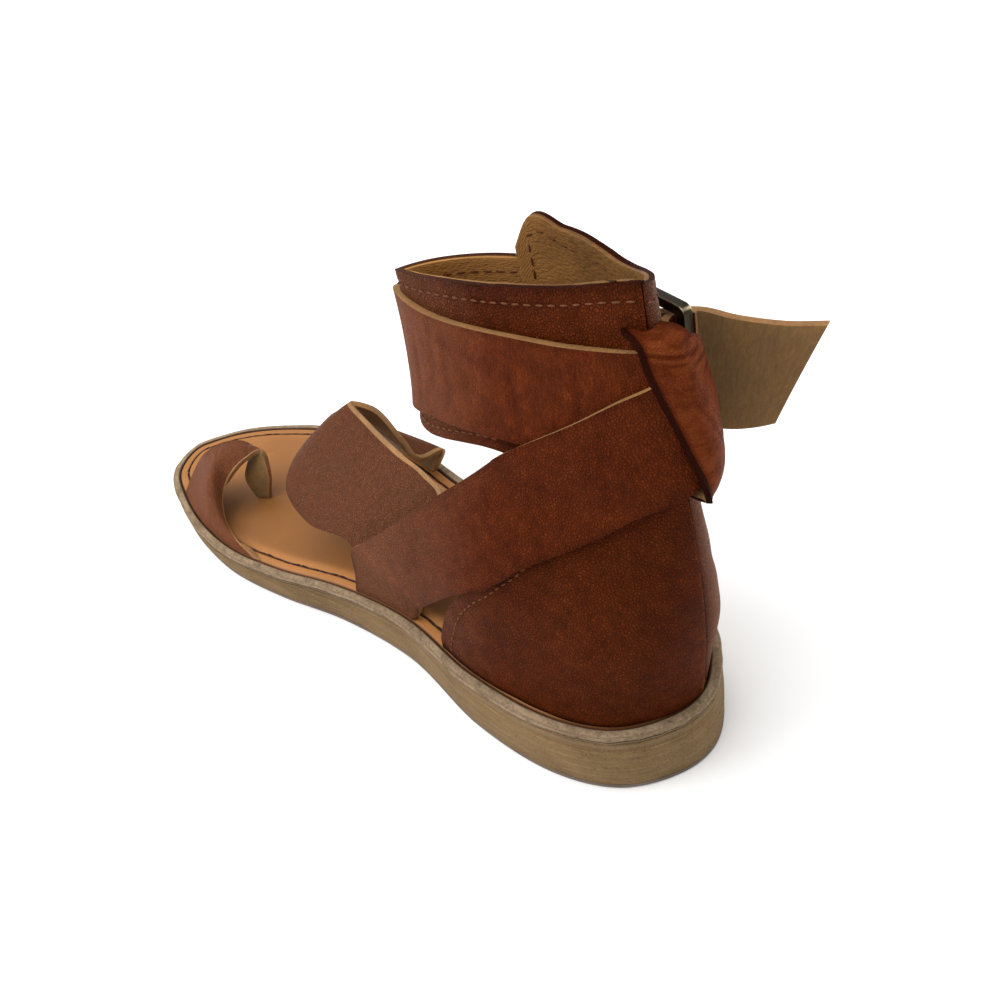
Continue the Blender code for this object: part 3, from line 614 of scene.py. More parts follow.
def keep_faces(piece, wanted):
    """Cut away the faces that fail a test, in edit mode."""
    pick(piece)
    bpy.ops.object.mode_set(mode="EDIT")
    bpy.ops.mesh.select_all(action="DESELECT")
    bpy.ops.mesh.select_mode(type="FACE")
    bpy.ops.object.mode_set(mode="OBJECT")
    for face in piece.data.polygons:
        face.select = not wanted(face)
    bpy.ops.object.mode_set(mode="EDIT")
    bpy.ops.mesh.delete(type="FACE")
    bpy.ops.mesh.select_mode(type="VERT")
    bpy.ops.object.mode_set(mode="OBJECT")


def even_path(path, pitch):
    steps = np.linalg.norm(np.diff(path, axis=0), axis=1)
    run = np.concatenate([[0], np.cumsum(steps)])
    count = max(int(run[-1] / pitch), 2)
    places = (np.arange(count) + 0.5) * run[-1] / count
    return np.stack([np.interp(places, run, path[:, k]) for k in range(3)], 1), run[-1] / count


def stitch_row(name, path, outward, thread, slot, pitch=None, fill=0.70, width=0.00058, slant=0.0,
               sink=-0.0001):
    """A row of stitches along a path: one stitch is modelled, then copied to each place."""
    centres, pitch = even_path(path - np.array((sizes().heel_rest, 0, 0)), pitch or sizes().stitch_pitch)
    steps = np.gradient(centres, axis=0)
    run = np.linalg.norm(np.diff(path, axis=0), axis=1)
    run = np.concatenate([[0], np.cumsum(run)])
    places = (np.arange(len(centres)) + 0.5) * pitch
    ups = np.stack([np.interp(places, run, outward[:, k]) for k in range(3)], 1)
    deselect()
    bpy.ops.mesh.primitive_uv_sphere_add(segments=8, ring_count=6, radius=0.5)
    model = bpy.context.object
    deselect()
    draw = np.random.RandomState(len(centres))
    copies = []
    for centre, step, up in zip(centres, steps, ups):
        way = Vector(step).normalized()
        side = Vector(up).cross(way).normalized()
        top = way.cross(side)
        swing = slant * (1 if len(copies) % 2 else -1) + draw.normal(0, 0.03)
        cos, sin = math.cos(swing), math.sin(swing)
        way, side = way * cos + side * sin, side * cos - way * sin
        frame_of = Matrix((way, side, top)).transposed().to_4x4()
        size = Matrix.Diagonal((pitch * fill * draw.uniform(0.94, 1.04), width, width * 0.8, 1))
        copy = model.copy()
        copy.data = model.data.copy()
        copy.data.transform(Matrix.Translation(Vector(centre) - top * sink) @ frame_of @ size)
        bpy.context.collection.objects.link(copy)
        copies.append(copy)
    bpy.data.objects.remove(model)
    for copy in copies:
        copy.select_set(True)
    bpy.context.view_layer.objects.active = copies[0]
    bpy.ops.object.join()
    row = bpy.context.object
    row.name = row.data.name = name
    finish_piece(row, angle=80, finish=thread)


def tube(name, path, radii, sides=14):
    """A round bar along a path, its ends closed."""
    path = np.array(path, float)
    ahead = np.gradient(path, axis=0)
    ahead /= np.linalg.norm(ahead, axis=1, keepdims=True)
    normal = np.cross(path[1] - path[0], path[-1] - path[0])
    normal /= np.linalg.norm(normal)
    side = np.cross(normal, ahead)
    angle = np.linspace(0, 2 * np.pi, sides + 1)
    angle[-1] = 0
    ring = np.cos(angle)[None, :, None] * side[:, None] + np.sin(angle)[None, :, None] * normal
    return grid_piece(name, path[:, None] + ring * np.array(radii)[:, None, None], weld=True)


# Materials

def feed(tree, node, inputs):
    """Set or link a node's inputs by name, or by number after an underscore."""
    for key, value in inputs.items():
        socket = node.inputs[int(key[1:])] if key[0] == "_" else node.inputs[key.replace("_", " ")]
        if isinstance(value, bpy.types.NodeSocket):
            tree.links.new(value, socket)
        elif isinstance(socket.default_value, float):
            socket.default_value = value
        elif len(socket.default_value) == 4 and len(value) == 3:
            socket.default_value = (*value, 1)
        else:
            socket.default_value = value


def wire(tree, kind, settings=None, **inputs):
    """Add a shader node, set its fields and feed its inputs."""
    node = tree.nodes.new("ShaderNode" + kind)
    for key, value in (settings or {}).items():
        setattr(node, key, value)
    feed(tree, node, inputs)
    return node


def blank(name):
    """A new material, its tree and shader, and the object's coordinates."""
    made = bpy.data.materials.new(name)
    made.use_nodes = True
    tree = made.node_tree
    return made, tree, tree.nodes["Principled BSDF"], wire(tree, "TexCoord").outputs["Object"]


def mix(tree, share, first, second, blend="MIX"):
    node = wire(tree, "Mix", {"data_type": "RGBA", "blend_type": blend})
    for socket, value in ((node.inputs[0], share), (node.inputs[6], first), (node.inputs[7], second)):
        if isinstance(value, bpy.types.NodeSocket):
            tree.links.new(value, socket)
        elif isinstance(value, (int, float)):
            socket.default_value = value
        else:
            socket.default_value = (*value[:3], 1)
    return node.outputs[2]


def two_tints(tree, share, tint, low, high):
    """A mix of a darker and a paler tint of one colour."""
    tint = np.array(tint)
    return mix(tree, share, tuple(tint * np.array(low)), tuple(np.minimum(tint * high, 1)))


def spread(tree, value, low, high, to_low=0.0, to_high=1.0):
    """Map a range to another, clamped."""
    node = wire(tree, "MapRange", {"clamp": True}, Value=value, From_Min=low, From_Max=high, To_Min=to_low,
                To_Max=to_high)
    return node.outputs[0]


def reckon(tree, operation, *values):
    inputs = {f"_{k}": value for k, value in enumerate(values)}
    return wire(tree, "Math", {"operation": operation}, **inputs).outputs[0]


def sums(tree, *terms):
    """Weighted sum of (value, weight) pairs."""
    total = reckon(tree, "MULTIPLY", *terms[0])
    for value, weight in terms[1:]:
        total = reckon(tree, "MULTIPLY_ADD", value, weight, total)
    return total


def noise(tree, place, scale, detail=3.0, rough=0.55, warp=0.0):
    return wire(tree, "TexNoise", None, Vector=place, Scale=scale, Detail=detail, Roughness=rough,
                Distortion=warp).outputs[0]


def cells(tree, place, scale, feature="F1", **inputs):
    """Distance in a pattern of cells."""
    node = wire(tree, "TexVoronoi", {"feature": feature}, Vector=place, Scale=scale, **inputs)
    return node.outputs["Distance"]


def stretched(tree, place, scale, turn=0.0):
    return wire(tree, "Mapping", None, Vector=place, Rotation=(0, 0, turn), Scale=scale).outputs[0]


def laid_flat(tree, scale, turn=0.0):
    """Stretched coordinates along and across a strap, from its UV map."""
    return stretched(tree, wire(tree, "TexCoord").outputs["UV"], scale, turn)


def one_axis(tree, place, axis):
    return wire(tree, "SeparateXYZ", None, Vector=place).outputs[axis]


def tone_at(tree):
    """The tone that the shapes were given: below 0 is darkened, mostly as painted shade in creases, recesses
    and gaps; above 0 is paler, as rubbed wear and on the toe loop as painted sheen.
    """
    return wire(tree, "Attribute", {"attribute_name": "tone"}).outputs["Fac"]


def surface(tree, shader, height, strength, distance, **inputs):
    """Feed the shader and raise its bumps."""
    feed(tree, shader, inputs)
    bump = wire(tree, "Bump", None, Height=height, Strength=strength, Distance=distance)
    tree.links.new(bump.outputs[0], shader.inputs["Normal"])


def grain_leather(name, deep, mid, light, pebble, streak, gloss, cloud, strength, side, pit):
    """Oiled leather with a pebbled grain, fine pull-up creases and cloudy colour."""
    made, tree, shader, spot = blank(name)
    wobble = wire(tree, "TexNoise", None, Vector=spot, Scale=420.0, Detail=2.0)
    bend = wire(tree, "VectorMath", {"operation": "MULTIPLY_ADD"}, _0=wobble.outputs[1],
                _1=(PEBBLE_BEND,) * 3, _2=spot)
    valley = spread(tree, cells(tree, bend.outputs[0], 1 / pebble, "DISTANCE_TO_EDGE"), 0.0, 0.24)
    hair = noise(tree, laid_flat(tree, (1500, 330, 1)), 1.0, 3.0, 0.6, 0.6)
    clouds = noise(tree, spot, cloud, 3.0)
    mottle = noise(tree, spot, 210, 4.0, 0.6)
    fine = noise(tree, spot, 2400, 2.0)
    tone = tone_at(tree)
    # Tone below 0 draws the colour toward the deep tint: painted shade in creases and recesses
    depth = sums(tree, (clouds, 0.35), (mottle, 0.60), (hair, streak), (fine, 0.10), (tone, 0.30))
    base = mix(tree, spread(tree, depth, 0.24 + streak / 2, 0.70 + streak / 2), deep, mid)
    # The rubbed mix also takes tone above 0, which on the toe loop is painted sheen
    wear_and_sheen = sums(tree, (mottle, 0.8), (hair, streak), (tone, 0.6), (fine, 0.2))
    rubbed = spread(tree, wear_and_sheen, 0.62 + streak / 2, 1.05 + streak / 2, 0.0, 0.75)
    base = mix(tree, rubbed, base, light)
    # Toward the toe the leather is painted paler: partly real dry bloom, partly painted sheen from the light
    # on that side
    ahead = sums(tree, (one_axis(tree, spot, 0), 1.0), (clouds, 0.03), (mottle, 0.02))
    bloom_and_sheen = spread(tree, ahead, *TOE_BLOOM_AND_SHEEN_REACH, 0.0, 0.5)
    # On the lateral side the leather is painted paler still: painted sheen
    if side:
        outside = sums(tree, (one_axis(tree, spot, 1), -1.0), (clouds, 0.004))
        bloom_and_sheen = sums(tree, (bloom_and_sheen, 1.0), (spread(tree, outside, *OUTER_SHEEN_REACH, 0.0, side), 1.0))
    base = mix(tree, bloom_and_sheen, base, tuple(paints().bloom_and_sheen))
    # Where the tone is -0.6 or below, the colour goes very dark: mostly painted shade in grooves and at the
    # feet of the cuff and straps, and along the keeper's edge partly its own dark edge
    dark_edges_and_shade = spread(tree, tone, -1.0, -0.6, 0.80, 0.0)
    base = mix(tree, dark_edges_and_shade, base, tuple(np.array(deep) * 0.35))
    dark = spread(tree, valley, 0, 1, pit, 1.0)
    pits = wire(tree, "CombineColor", None, Red=dark, Green=dark, Blue=dark).outputs[0]
    base = mix(tree, 1.0, base, pits, "MULTIPLY")
    rough = spread(tree, sums(tree, (mottle, 0.6), (valley, -0.25)), 0.0, 0.5, gloss, gloss + 0.22)
    height = sums(tree, (valley, 0.75), (hair, 0.5 * streak + 0.1), (fine, 0.22), (mottle, 0.35))
    surface(tree, shader, height, strength, 0.0006, Base_Color=base, Roughness=rough, Specular_IOR_Level=0.02,
            Coat_Weight=0.004, Coat_Roughness=0.35)
    return made


def raw_edge(name, tint):
    """Cut edge of the leather, its fibres showing as fine mottling."""
    made, tree, shader, spot = blank(name)
    fibre = noise(tree, spot, 1500, 3.0, 0.65)
    patch = noise(tree, spot, 130, 2.0)
    base = two_tints(tree, spread(tree, sums(tree, (fibre, 0.7), (patch, 0.5)), 0.35, 0.85), tint, 0.42, 1.12)
    surface(tree, shader, fibre, 0.5, 0.0002, Base_Color=base, Roughness=0.72)
    return made


def flesh_side(name, tint):
    """Napped flesh side of the leather, its fibres combed one way."""
    made, tree, shader, spot = blank(name)
    combed = noise(tree, laid_flat(tree, (900, 240, 1)), 1.0, 4.0, 0.65, 1.2)
    patch = noise(tree, spot, 60, 3.0)
    nap = noise(tree, spot, 2200, 2.0, 0.7)
    share = spread(tree, sums(tree, (combed, 0.7), (patch, 0.35), (nap, 0.25)), 0.38, 0.92)
    surface(tree, shader, sums(tree, (combed, 0.7), (nap, 0.5)), 0.45, 0.0003, Roughness=0.85,
            Base_Color=two_tints(tree, share, tint, 0.45, 1.25), Sheen_Weight=0.18, Sheen_Roughness=0.5)
    return made


def lining_leather(name, tint):
    """Thin tan lining, its grain drawn out in slanting wrinkles; it is painted paler toward the front, as
    painted light.
    """
    made, tree, shader, spot = blank(name)
    turned = laid_flat(tree, (1900, 800, 1), math.radians(-32))
    wrinkle = cells(tree, turned, 1.0, "SMOOTH_F1", Smoothness=0.4, Randomness=0.9)
    loose = noise(tree, turned, 0.55, 3.0, 0.6, 0.8)
    patch = noise(tree, spot, 45, 3.0)
    share = spread(tree, sums(tree, (wrinkle, -0.5), (loose, 0.8), (patch, 0.5)), 0.12, 0.62)
    base = two_tints(tree, share, tint, 0.70, 1.06)
    # Painted light: toward the front the lining is mixed toward a much paler tint
    ahead = sums(tree, (one_axis(tree, spot, 0), 1.0), (patch, 0.02))
    front = spread(tree, ahead, 0.022, 0.055, 0.0, 0.95)
    base = mix(tree, front, base, tuple(np.minimum(np.array(tint) * 2.2, 1)))
    surface(tree, shader, sums(tree, (wrinkle, -1.0), (loose, 0.6)), 0.5, 0.0004, Base_Color=base,
            Roughness=0.62, Specular_IOR_Level=0.15)
    return made


def foot_bed(name, tint):
    """Smooth tan insole leather, lightly polished, with painted shade toward the heel and in its groove and
    along its rim.
    """
    made, tree, shader, spot = blank(name)
    patch = noise(tree, spot, 26, 4.0, 0.55)
    speck = noise(tree, spot, 900, 3.0, 0.6)
    tone = tone_at(tree)
    share = spread(tree, sums(tree, (patch, 0.8), (speck, 0.25)), 0.28, 0.78)
    base = two_tints(tree, share, tint, 0.74, 1.08)
    # Painted shade: away from the rim and toward the heel, the insole is mixed toward a darker tint, leaving
    # the toe end bright
    inner = spread(tree, tone, 0.2, 0.8, 0.0, 1.0)
    ahead = sums(tree, (one_axis(tree, spot, 0), 1.0), (patch, 0.03))
    worn = spread(tree, ahead, 0.135, 0.215, 0.92, 0.05)
    heel_shade_tint = tuple(np.array(tint) * np.array((0.46, 0.44, 0.38)))
    base = mix(tree, reckon(tree, "MULTIPLY", inner, worn), base, heel_shade_tint)
    # Painted shade: the stitch groove and the rim down to the welt are mixed toward a dark brown
    groove = spread(tree, tone, -1.0, -0.15, 1.0, 0.0)
    base = mix(tree, groove, base, shade(62, 32, 16))
    surface(tree, shader, sums(tree, (speck, 0.5), (patch, 0.3)), 0.25, 0.0002, Base_Color=base,
            Roughness=0.50, Specular_IOR_Level=0.2, Coat_Weight=0.02, Coat_Roughness=0.4)
    return made


def rough_welt(name, tint):
    """Raw split leather strip: pale, darker in patches and in its grooves."""
    made, tree, shader, spot = blank(name)
    patch = noise(tree, spot, 75, 4.0, 0.65)
    speck = noise(tree, spot, 1100, 4.0, 0.7)
    drawn = noise(tree, stretched(tree, spot, (160, 160, 1700)), 1.0, 4.0, 0.7, 0.4)
    share = spread(tree, sums(tree, (patch, 0.45), (speck, 0.45), (drawn, 0.60)), 0.55, 0.95)
    base = two_tints(tree, share, tint, (0.42, 0.36, 0.30), 1.75)
    # Darker in patches and where the tone is below 0, at its recessed rows
    darkening = spread(tree, sums(tree, (tone_at(tree), -1.0), (drawn, 1.1), (patch, 0.6)), 0.80, 1.25, 0.0, 0.9)
    base = mix(tree, darkening, base, shade(66, 42, 28))
    surface(tree, shader, sums(tree, (drawn, 0.8), (speck, 0.5)), 0.9, 0.0006, Base_Color=base, Roughness=0.8,
            Specular_IOR_Level=0.15)
    return made


def stacked_layers(name, tint):
    """Stacked leather sole, its layers showing as faint lines round the edge."""
    made, tree, shader, spot = blank(name)
    level = sums(tree, (one_axis(tree, spot, 2), 1000.0), (noise(tree, spot, 18, 2.0), 0.9))
    ring = reckon(tree, "FRACT", sums(tree, (level, 0.27)))
    line = reckon(tree, "ABSOLUTE", sums(tree, (ring, 1.0), (1.0, -0.5)))
    seam = spread(tree, line, 0.0, 0.06, 1.0, 0.0)
    broken = spread(tree, noise(tree, spot, 95, 3.0), 0.42, 0.62)
    drawn = noise(tree, stretched(tree, spot, (70, 70, 1500)), 1.0, 5.0, 0.7, 0.3)
    speck = noise(tree, spot, 1700, 3.0, 0.7)
    patch = noise(tree, spot, 42, 4.0, 0.6)
    share = spread(tree, sums(tree, (drawn, 0.6), (speck, 0.55), (patch, 0.4)), 0.55, 0.98)
    base = two_tints(tree, share, tint, (0.48, 0.43, 0.36), 1.16)
    pale = reckon(tree, "MULTIPLY", seam, broken)
    base = mix(tree, sums(tree, (pale, 0.35)), base, shade(186, 162, 120))
    tone = tone_at(tree)
    grey = spread(tree, sums(tree, (tone, 1.0), (patch, 0.5)), 0.35, 0.95, 0.0, 0.6)
    base = mix(tree, grey, base, shade(122, 102, 80))
    pitted = spread(tree, sums(tree, (cells(tree, spot, 900.0), 1.0), (patch, 0.5)), 0.38, 0.52, 0.6, 0.0)
    base = mix(tree, pitted, base, shade(84, 62, 38))
    # Darker where the tone is below 0: the ledge's groove and the rows at the top and bottom edge
    darkening = spread(tree, tone, -1.0, -0.2, 0.85, 0.0)
    base = mix(tree, darkening, base, shade(92, 70, 52))
    height = sums(tree, (drawn, 0.9), (speck, 0.4), (pitted, -0.8), (pale, -0.4))
    surface(tree, shader, height, 0.7, 0.0004, Base_Color=base, Roughness=0.7, Specular_IOR_Level=0.15)
    return made


def tread_rubber(name, tint):
    """Dull rubber with small dots."""
    made, tree, shader, spot = blank(name)
    dots = spread(tree, cells(tree, spot, 420.0, Randomness=0.1), 0.25, 0.5)
    patch = noise(tree, spot, 90, 4.0, 0.6)
    base = two_tints(tree, spread(tree, patch, 0.3, 0.7), tint, 0.6, 1.0)
    surface(tree, shader, sums(tree, (dots, 1.0), (patch, 0.6)), 0.6, 0.0004, Base_Color=base, Roughness=0.85)
    return made


def waxed_thread(name, tint):
    made, tree, shader, spot = blank(name)
    twist = noise(tree, spot, 3200, 3.0, 0.7)
    base = two_tints(tree, spread(tree, twist, 0.35, 0.65), tint, 0.6, 1.15)
    surface(tree, shader, twist, 0.5, 0.0002, Base_Color=base, Roughness=0.55, Specular_IOR_Level=0.1)
    return made


def aged_brass(name, dark, worn):
    """Antique brass, dark in the flats and rubbed bright along the edges."""
    made, tree, shader, spot = blank(name)
    patch = noise(tree, spot, 260, 4.0, 0.6)
    scratch = noise(tree, stretched(tree, spot, (300, 2600, 700)), 1.0, 3.0, 0.6)
    edge = spread(tree, sums(tree, (tone_at(tree), 1.0), (patch, 0.5), (scratch, 0.2)), 0.85, 1.25)
    surface(tree, shader, sums(tree, (scratch, 0.5), (patch, 0.5)), 0.2, 0.0001, Metallic=1.0,
            Base_Color=mix(tree, edge, dark, worn), Roughness=spread(tree, patch, 0.3, 0.7, 0.28, 0.5))
    return made


# How far the pebbles' outlines wander, and where the leather is painted paler toward the toe, partly real dry
# bloom and partly painted sheen, and outward on the lateral side as painted sheen (m)
PEBBLE_BEND = 0.0016
TOE_BLOOM_AND_SHEEN_REACH = (0.040, 0.095)
OUTER_SHEEN_REACH = (0.006, 0.014)
COGNAC = ("cognac_deep", "cognac", "cognac_light")
HEEL = ("heel_deep", "heel", "heel_light")
# Grain leathers: colours, then pebble size, streaks, gloss, cloud scale, bumps, outer painted sheen and pit
# shade
GRAIN_LOOKS = {
    "cognac_grain": (COGNAC, 0.0008, 0.25, 0.45, 28, 0.75, 0.0, 0.72),
    "cognac_band": (COGNAC, 0.0007, 0.60, 0.42, 22, 0.45, 0.0, 0.72),
    "cognac_front": (COGNAC, 0.0007, 0.50, 0.40, 24, 0.90, 0.0, 0.82),
    "keeper_smooth": (COGNAC, 0.0007, 0.28, 0.40, 22, 0.50, 0.0, 0.86),
    "heel_grain": (HEEL, 0.0008, 0.15, 0.42, 34, 0.80, 0.8, 0.68),
    "cuff_edge": (("heel_deep", "heel_deep", "heel"), 0.0006, 0.20, 0.50, 28, 0.75, 0.0, 0.72),
}
OTHER_LOOKS = {
    "strap_edge": (raw_edge, "raw_edge"),
    "strap_flesh": (flesh_side, "flesh"),
    "cuff_lining_leather": (lining_leather, "lining"),
    "insole_bed": (foot_bed, "insole"),
    "welt_strip_rough": (rough_welt, "welt"),
    "sole_stack": (stacked_layers, "stack"),
    "tread": (tread_rubber, "tread"),
    "cuff_thread": (waxed_thread, "thread"),
    "insole_thread": (waxed_thread, "dark_thread"),
    "buckle_brass": (aged_brass, "brass", "brass_worn"),
}


def look(name):
    """The named finish, made once."""
    if name in bpy.data.materials:
        return bpy.data.materials[name]
    if name in GRAIN_LOOKS:
        keys, *settings = GRAIN_LOOKS[name]
        return grain_leather(name, *(getattr(paints(), key) for key in keys), *settings)
    maker, *keys = OTHER_LOOKS[name]
    return maker(name, *(getattr(paints(), key) for key in keys))


# Sole

# How far inside the sole's edge the hidden faces of its layers are drawn together
INNER = 0.004


def layer_rows(profile, tones):
    """A layer of the sole swept round its outline: profile rows are inset, pull to the middle, height."""
    rows, shades = [], []
    for (inset, draw, height), tone in zip(profile, tones):
        ring = sole_ring(inset, draw)
        rows.append(np.column_stack([ring, height(ring[:, 0])]))
        shades.append(np.full(len(ring), tone))
    return np.array(rows), np.array(shades)


def closing(height):
    """Profile rows that close a layer's face toward the middle."""
    return [(INNER, draw, height) for draw in (0, 0.5, 1.0)]


def roughened(rows, first, last, depth, pitch, seed):
    """Push rows of a sweep in and out sideways by uneven waves."""
    rows = rows.copy()
    ahead = np.gradient(rows[first], axis=0)
    outward = np.stack([-ahead[:, 1], ahead[:, 0]], 1)
    outward /= np.maximum(np.linalg.norm(outward, axis=1, keepdims=True), 1e-9)
    for k in range(first, last):
        wave = depth * waves(rows[k], pitch, seed)
        rows[k, :, :2] += outward * wave[:, None]
    rows[:, -1] = rows[:, 0]
    return rows


def build_outsole():
    size = sizes()
    thick = size.outsole

    def at(lift):
        return lambda x: ground_height(x) + lift

    profile = closing(at(0))[::-1]
    profile += [(0.0008, 0, at(0)), (0.0003, 0, at(0.0001)), (0, 0, at(0.0004)), (0, 0, at(thick - 0.0003)),
                (0.0002, 0, at(thick))]
    profile += closing(at(thick))
    rows, tones = layer_rows(profile, [0] * len(profile))
    piece = grid_piece("tread_layer", rows, tone=tones, weld=True)
    finish_piece(piece, ["outsole"], finish="tread")


def build_wedge():
    size = sizes()

    def at(share, lift=0.0):
        def height(x):
            low = ground_height(x) + size.outsole
            high = seat_height(x) - size.welt_thickness - size.gap / 2
            return low + (high - low) * share + lift
        return height

    profile = closing(at(0))[::-1] + [(0.0004, 0, at(0)), (0.0001, 0, at(0, 0.0003))]
    tones = [0, 0, 0, 0, -0.3]
    steps, plies = 22, 5.0
    ledge, ledge_half = 0.84, 0.024
    for k in range(1, steps):
        share = k / steps
        bow = 0.0003 * math.sin(math.pi * share)
        ply = abs((share * plies) % 1.0 - 0.5)
        groove = 0.00012 * max(0.0, 1 - ply / 0.10)
        inset = 0.0001 - bow + groove
        tone = 0.5 if share > ledge else 0.0
        if abs(share - ledge) < ledge_half:
            inset += 0.00025
            tone = -0.45
        profile.append((inset, 0, at(share)))
        tones.append(tone)
    profile += [(0.0002, 0, at(1, -0.0003)), (0.0006, 0, at(1))] + closing(at(1))
    tones += [-0.6, -0.6, 0, 0, 0]
    rows, shades = layer_rows(profile, tones)
    rows = roughened(rows, 4, len(profile) - 5, 0.00010, 0.012, 5)
    piece = grid_piece("stacked_wedge", rows, tone=shades, weld=True)
    finish_piece(piece, ["wedge_midsole"], finish="sole_stack")


# Welt's outer face from the bottom round to its top: inset (m), share of its height, tone
WELT_ROWS = (
    (0.0006, 0.00, -0.5),
    (0.0001, 0.06, -0.3),
    (-0.0001, 0.16, 0),
    (-0.0001, 0.27, 0),
    (0.0002, 0.34, -0.6),
    (0.00055, 0.38, -1.0),
    (0.0002, 0.43, -0.6),
    (-0.0002, 0.52, 0),
    (-0.0003, 0.64, 0.2),
    (-0.0001, 0.78, 0.1),
    (0.0003, 0.90, -0.1),
    (0.0008, 0.98, 0.2),
    (0.0014, 1.00, 0.4),
    (0.0022, 1.01, 0.3),
    (0.0027, 0.98, -0.6),
)


def build_welt():
    size = sizes()
    wide, thick = size.welt_width, size.welt_thickness

    def at(lift):
        return lambda x: seat_height(x) - thick + lift * thick

    rim = [(wide, 0.05, 0)] + list(WELT_ROWS) + [(wide, 0.88, -1.0), (wide, 0.5, -1.0), (wide, 0.05, 0)]
    rows, shades = layer_rows([(inset, 0, at(lift)) for inset, lift, _ in rim], [row[2] for row in rim])
    rows = roughened(rows, 2, 12, 0.00016, 0.006, 9)
    ring = rows[:, :, :2]
    wave = waves(np.dstack([ring, np.zeros(ring.shape[:2])]), 0.016, 3)
    rows[10:16, :, 2] += 0.00010 * wave[10:16]
    rows[:, -1] = rows[:, 0]
    piece = grid_piece("welt_trim", rows, tone=shades, weld=True)
    finish_piece(piece, ["welt"], finish="welt_strip_rough")


# Insole's stitch line: how far inside the edge, and its groove's rows (m off the line, m deep)
STITCH_INSET = 0.0066
GROOVE_DEPTH = 0.0003
GROOVE_ROWS = (
    (-0.0012, 0),
    (-0.0006, 0.00004),
    (-0.0003, 0.0002),
    (0, GROOVE_DEPTH),
    (0.0003, 0.0002),
    (0.0006, 0.00004),
    (0.0012, 0),
)


def build_insole():
    size = sizes()
    edge = size.welt_width + size.gap

    def at(lift):
        return lambda x: seat_height(x) + lift

    low = -size.welt_thickness
    groove = STITCH_INSET + size.gap
    profile = [(edge + 0.001, 1.0, at(low)), (edge + 0.001, 0, at(low)), (edge, 0, at(low)),
               (edge, 0, at(-0.0009)), (edge + 0.00015, 0, at(-0.0004)), (edge + 0.0005, 0, at(-0.0001)),
               (edge + 0.0010, 0, at(0))]
    # Tones: below 0 darkens the rim and the groove as painted shade; 1 marks the middle for the painted shade
    # toward the heel
    tones = [-0.8, -0.8, -0.8, -0.8, -0.7, -0.4, 0]
    for off, drop in GROOVE_ROWS:
        profile.append((groove + off, 0, at(-drop)))
        tones.append(-1.3 * drop / GROOVE_DEPTH)
    profile.append((groove + 0.0040, 0, at(0)))
    tones.append(0.7)
    for draw in (0.15, 0.3, 0.45, 0.6, 0.8, 1.0):
        profile.append((groove + 0.0040, draw, at(-0.0004 * draw)))
        tones.append(1)
    rows, shades = layer_rows(profile, tones)
    piece = grid_piece("insole_pad", rows, tone=shades, weld=True)
    finish_piece(piece, ["insole"], finish="insole_bed")
    ring = sole_ring(groove)
    share = ring[:, 0] / size.sole_length
    wander = 0.00022 * np.sin(share * 95) + 0.00012 * np.sin(share * 231)
    path = np.column_stack([ring[:, 0], ring[:, 1] + wander, seat_height(ring[:, 0]) - 0.00022])
    ups = np.tile((0.0, 0.0, 1.0), (len(path), 1))
    keep = slice(8, len(path) - 8)
    stitch_row("insole_stitch", path[keep], ups[keep], "insole_thread", "insole_leather", pitch=0.0046,
               fill=1.02, width=0.00082, slant=0.12, sink=0.0)


# Cuff and counter

# Stitch lines below the cuff's top and above its lower edge, and the counter's stitches (m)
TOP_STITCH_INSET = 0.0040
LOW_STITCH_INSETS = (0.0026, 0.0050)
LONG_PITCH = 0.0030
# The counter's lowest part is drawn out to the welt: at most how far, and how high up it fades (m)
DRAWN_OUT = 0.0060
DRAWN_UP = 0.024
# Turn at which the lateral flap's top stitches start
LATERAL_FRONT = -1.95
# Rows of points below and above the line where the cuff meets the counter
LOWER_ROWS, UPPER_ROWS = 56, 46


def flap_inset(turn, up):
    """How far inward the lateral flap's front lies, to pass under the medial one."""
    return sizes().flap_step * (rise(-turn, 0.2, 1.0) * rise(up, 0.38, 0.56))


def ankle_axis(up):
    """The middle of the ankle form at each height."""
    return (ankle_point(0.0, up, 0.0) + ankle_point(np.pi, up, 0.0)) / 2


